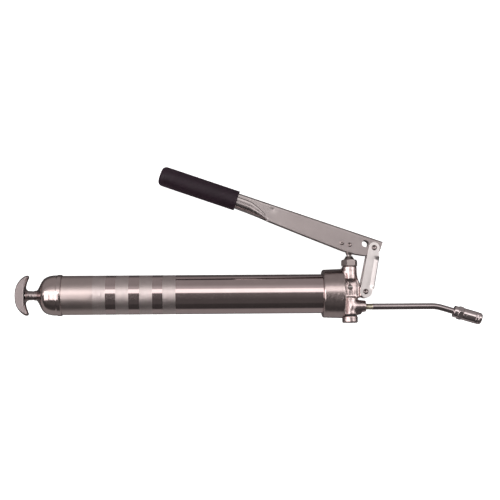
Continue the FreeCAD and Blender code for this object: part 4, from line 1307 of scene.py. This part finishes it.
v, f = helix((-421.2, 0, 0), (1, 0, 0), (0, 1, 0), 18.5, 1.0, 382.9, 22)
sp = build("follower_coil", v, f, M_SPRING, "gun_body", "follower_spring", "spring_steel")
anchor = world(np.array([[-421.2, 0, 0]]))[0]
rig.squash(sp, "follower_slide", axis=tuple(GX), anchor=tuple(anchor), keep=0.158)
v, f = helix((0, -28.2, 0), (0, 1, 0), (1, 0, 0), 2.7, 0.4, 8.0, 6, dead=1.0)
sp2 = build("check_coil", v, f, M_SPRING, "gun_body", "check_spring", "spring_steel")
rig.squash(sp2, "check_ball_lift", axis=tuple(GY), anchor=tuple(world(np.array([[0, -28.2, 0]]))[0]), keep=0.80)
cs = C0 + D2 * 18.3
v, f = helix(cs, D2, (0, 0, 1), 4.8, 0.45, 6.2, 4, dead=1.0)
sp3 = build("jaw_coil", v, f, M_SPRING, "gun_body", "coupler_spring", "spring_steel")
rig.squash(sp3, "jaws_slide", axis=tuple(direction(D2)), anchor=tuple(world(np.array([cs]))[0]), keep=0.75)

# ------------------------------------------------------------------ carried-over CAD nodes
CARRY = {
    "cap_bushing": M_ROD, "follower_rod": M_ROD, "rod_collar": M_ROD, "rod_nut": M_ROD, "follower_rear_plate": M_ROD,
    "follower_front_plate": M_ROD, "follower_cup": M_RUBBER, "barrel_gasket": M_RUBBER, "packing_washer": M_ROD,
    "plunger_packing": M_RUBBER, "plug_gasket": M_RUBBER, "check_ball": M_ROD, "plunger_pin_clip": M_SPRING,
    "upper_pin_clip": M_SPRING, "lower_pin_clip": M_SPRING, "coupler_jaws": M_ROD, "coupler_seal": M_RUBBER,
    "coupler_ball": M_ROD}
for n_name, mat in CARRY.items():
    ob = frame["nodes"][n_name]
    for sl in ob.material_slots:
        sl.material = mat

# ------------------------------------------------------------------ floor, light, camera
sc = bpy.context.scene
sc.view_settings.view_transform = "Standard"
sc.view_settings.look = "None"
sc.view_settings.exposure = 0.0

me = bpy.data.meshes.new("floor")
me.from_pydata([(-30, -30, 0), (30, -30, 0), (30, 30, 0), (-30, 30, 0)], [], [(0, 1, 2, 3)])
floor = bpy.data.objects.new("floor", me)
sc.collection.objects.link(floor)
fm_ = bpy.data.materials.new("pale_floor")
fm_.use_nodes = True
nt = fm_.node_tree
b = nt.nodes["Principled BSDF"]
b.inputs["Base Color"].default_value = (0.86, 0.86, 0.86, 1)
b.inputs["Roughness"].default_value = 0.9
b.inputs["Specular IOR Level"].default_value = 0.1
b.inputs["Emission Color"].default_value = (1, 1, 1, 1)
b.inputs["Emission Strength"].default_value = 0.80
me.materials.append(fm_)
floor.visible_glossy = False
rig.stage(floor)

w = bpy.data.worlds.new("studio")
sc.world = w
w.use_nodes = True
nt = w.node_tree
nt.nodes.clear()
out = nt.nodes.new("ShaderNodeOutputWorld")
tc = nt.nodes.new("ShaderNodeTexCoord")
sep = nt.nodes.new("ShaderNodeSeparateXYZ")
nt.links.new(tc.outputs["Generated"], sep.inputs[0])
at = nt.nodes.new("ShaderNodeMath"); at.operation = "ARCTAN2"
nt.links.new(sep.outputs["Y"], at.inputs[0])
nt.links.new(sep.outputs["Z"], at.inputs[1])
mr = nt.nodes.new("ShaderNodeMapRange")
mr.inputs["From Min"].default_value = -math.pi
mr.inputs["From Max"].default_value = math.pi
nt.links.new(at.outputs[0], mr.inputs["Value"])


def deg(a):
    return (a + 180.0) / 360.0


band = [(-180, .10), (-146, .13), (-140, .30), (-96, .31), (-90, .13), (-86, .042), (-56, .045), (-50, .085), (-24, .090),
        (-14, .115), (-4, .145), (6, .17), (11, .25), (15, 1.0), (35, 1.0), (38, .62), (50, .52), (56, .38), (64, .32),
        (120, .30), (124, .25), (134, .10), (180, .06)]
grad = ramp(nt, mr.outputs["Result"], [(deg(a), (c, c * (0.945 + 0.045 * c), c * (0.94 + 0.04 * c))) for a, c in band])
gain = nt.nodes.new("ShaderNodeMath"); gain.operation = "GREATER_THAN"
# the bright strip is brighter than white
r2 = ramp(nt, mr.outputs["Result"], [(deg(11), 0.0), (deg(15), 1.0), (deg(35), 1.0), (deg(38), 0.0)])
bg1 = nt.nodes.new("ShaderNodeBackground")
nt.links.new(grad.outputs["Color"], bg1.inputs["Color"])
mul = nt.nodes.new("ShaderNodeMath"); mul.operation = "MULTIPLY_ADD"
nt.links.new(r2.outputs["Color"], mul.inputs[0])
mul.inputs[1].default_value = 0.7
mul.inputs[2].default_value = 1.0
nt.links.new(mul.outputs[0], bg1.inputs["Strength"])
bg2 = nt.nodes.new("ShaderNodeBackground")
bg2.inputs["Color"].default_value = (1.0, 0.995, 0.99, 1)
bg2.inputs["Strength"].default_value = 1.0
lp = nt.nodes.new("ShaderNodeLightPath")
mx = nt.nodes.new("ShaderNodeMixShader")
nt.links.new(lp.outputs["Is Glossy Ray"], mx.inputs["Fac"])


def lamp(src, az0, az1, el0, el1, soft, strength):
    """Rectangular soft box seen between bearings az0 and az1 and heights el0 and el1, degrees."""
    sep_ = nt.nodes.new("ShaderNodeSeparateXYZ")
    nt.links.new(tc.outputs["Generated"], sep_.inputs[0])
    az = nt.nodes.new("ShaderNodeMath"); az.operation = "ARCTAN2"
    nt.links.new(sep_.outputs["X"], az.inputs[0])
    nt.links.new(sep_.outputs["Z"], az.inputs[1])
    el = nt.nodes.new("ShaderNodeMath"); el.operation = "ARCSINE"
    nt.links.new(sep_.outputs["Y"], el.inputs[0])
    prod = None
    for src_, a_, b_ in ((az, az0 - soft, az0), (az, az1 + soft, az1), (el, el0 - soft, el0), (el, el1 + soft, el1)):
        m_ = nt.nodes.new("ShaderNodeMapRange")
        m_.interpolation_type = "SMOOTHSTEP"
        m_.inputs["From Min"].default_value = math.radians(a_)
        m_.inputs["From Max"].default_value = math.radians(b_)
        nt.links.new(src_.outputs[0], m_.inputs["Value"])
        if prod is None:
            prod = m_.outputs["Result"]
        else:
            k_ = nt.nodes.new("ShaderNodeMath"); k_.operation = "MULTIPLY"
            nt.links.new(prod, k_.inputs[0])
            nt.links.new(m_.outputs["Result"], k_.inputs[1])
            prod = k_.outputs[0]
    k_ = nt.nodes.new("ShaderNodeMath"); k_.operation = "MULTIPLY"
    nt.links.new(prod, k_.inputs[0])
    k_.inputs[1].default_value = strength
    bgl = nt.nodes.new("ShaderNodeBackground")
    bgl.inputs["Color"].default_value = (1.0, 0.97, 0.965, 1)
    nt.links.new(k_.outputs[0], bgl.inputs["Strength"])
    ad = nt.nodes.new("ShaderNodeAddShader")
    nt.links.new(src, ad.inputs[0])
    nt.links.new(bgl.outputs[0], ad.inputs[1])
    return ad.outputs[0]


glossy = lamp(bg1.outputs[0], -27, -10.5, -19, 19, 2.0, 2.4)
glossy = lamp(glossy, -60, -34, -19, 19, 3.0, 2.2)
glossy = lamp(glossy, 34, 58, -4, 24, 5.0, 1.1)
nt.links.new(bg2.outputs[0], mx.inputs[1])
nt.links.new(glossy, mx.inputs[2])
nt.links.new(mx.outputs[0], out.inputs["Surface"])

cam_d = bpy.data.cameras.new("cam")
cam_d.sensor_width = 36.0
cam_d.lens = 36.0 * 1150.0 / 500.0
cam_d.clip_end = 100.0
cam = bpy.data.objects.new("cam", cam_d)
sc.collection.objects.link(cam)
gun = ORIGIN / 1000.0
right = np.array([0.9986140395, -0.0048864262, 0.0524034630])
up = np.array([0.0056108492, 0.9998906032, -0.0136857596])
back = np.array([-0.0523308557, 0.0139608196, 0.9985322113])
loc = gun + np.array([-221.1697, 83.3028, 1585.2470]) / 1000.0
m4 = Matrix.Identity(4)
for i in range(3):
    m4[i][0], m4[i][1], m4[i][2], m4[i][3] = right[i], up[i], back[i], loc[i]
cam.matrix_world = m4
sc.camera = cam

bpy.context.view_layer.update()
new_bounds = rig.bounds()


def plain(b_):
    if isinstance(b_, dict):
        return {k: plain(q) for k, q in b_.items()}
    if isinstance(b_, (int, float)):
        return float(b_)
    return [plain(q) for q in b_]


json.dump({"cad": plain(cad_bounds), "visual": plain(new_bounds)}, open("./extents.json", "w"))
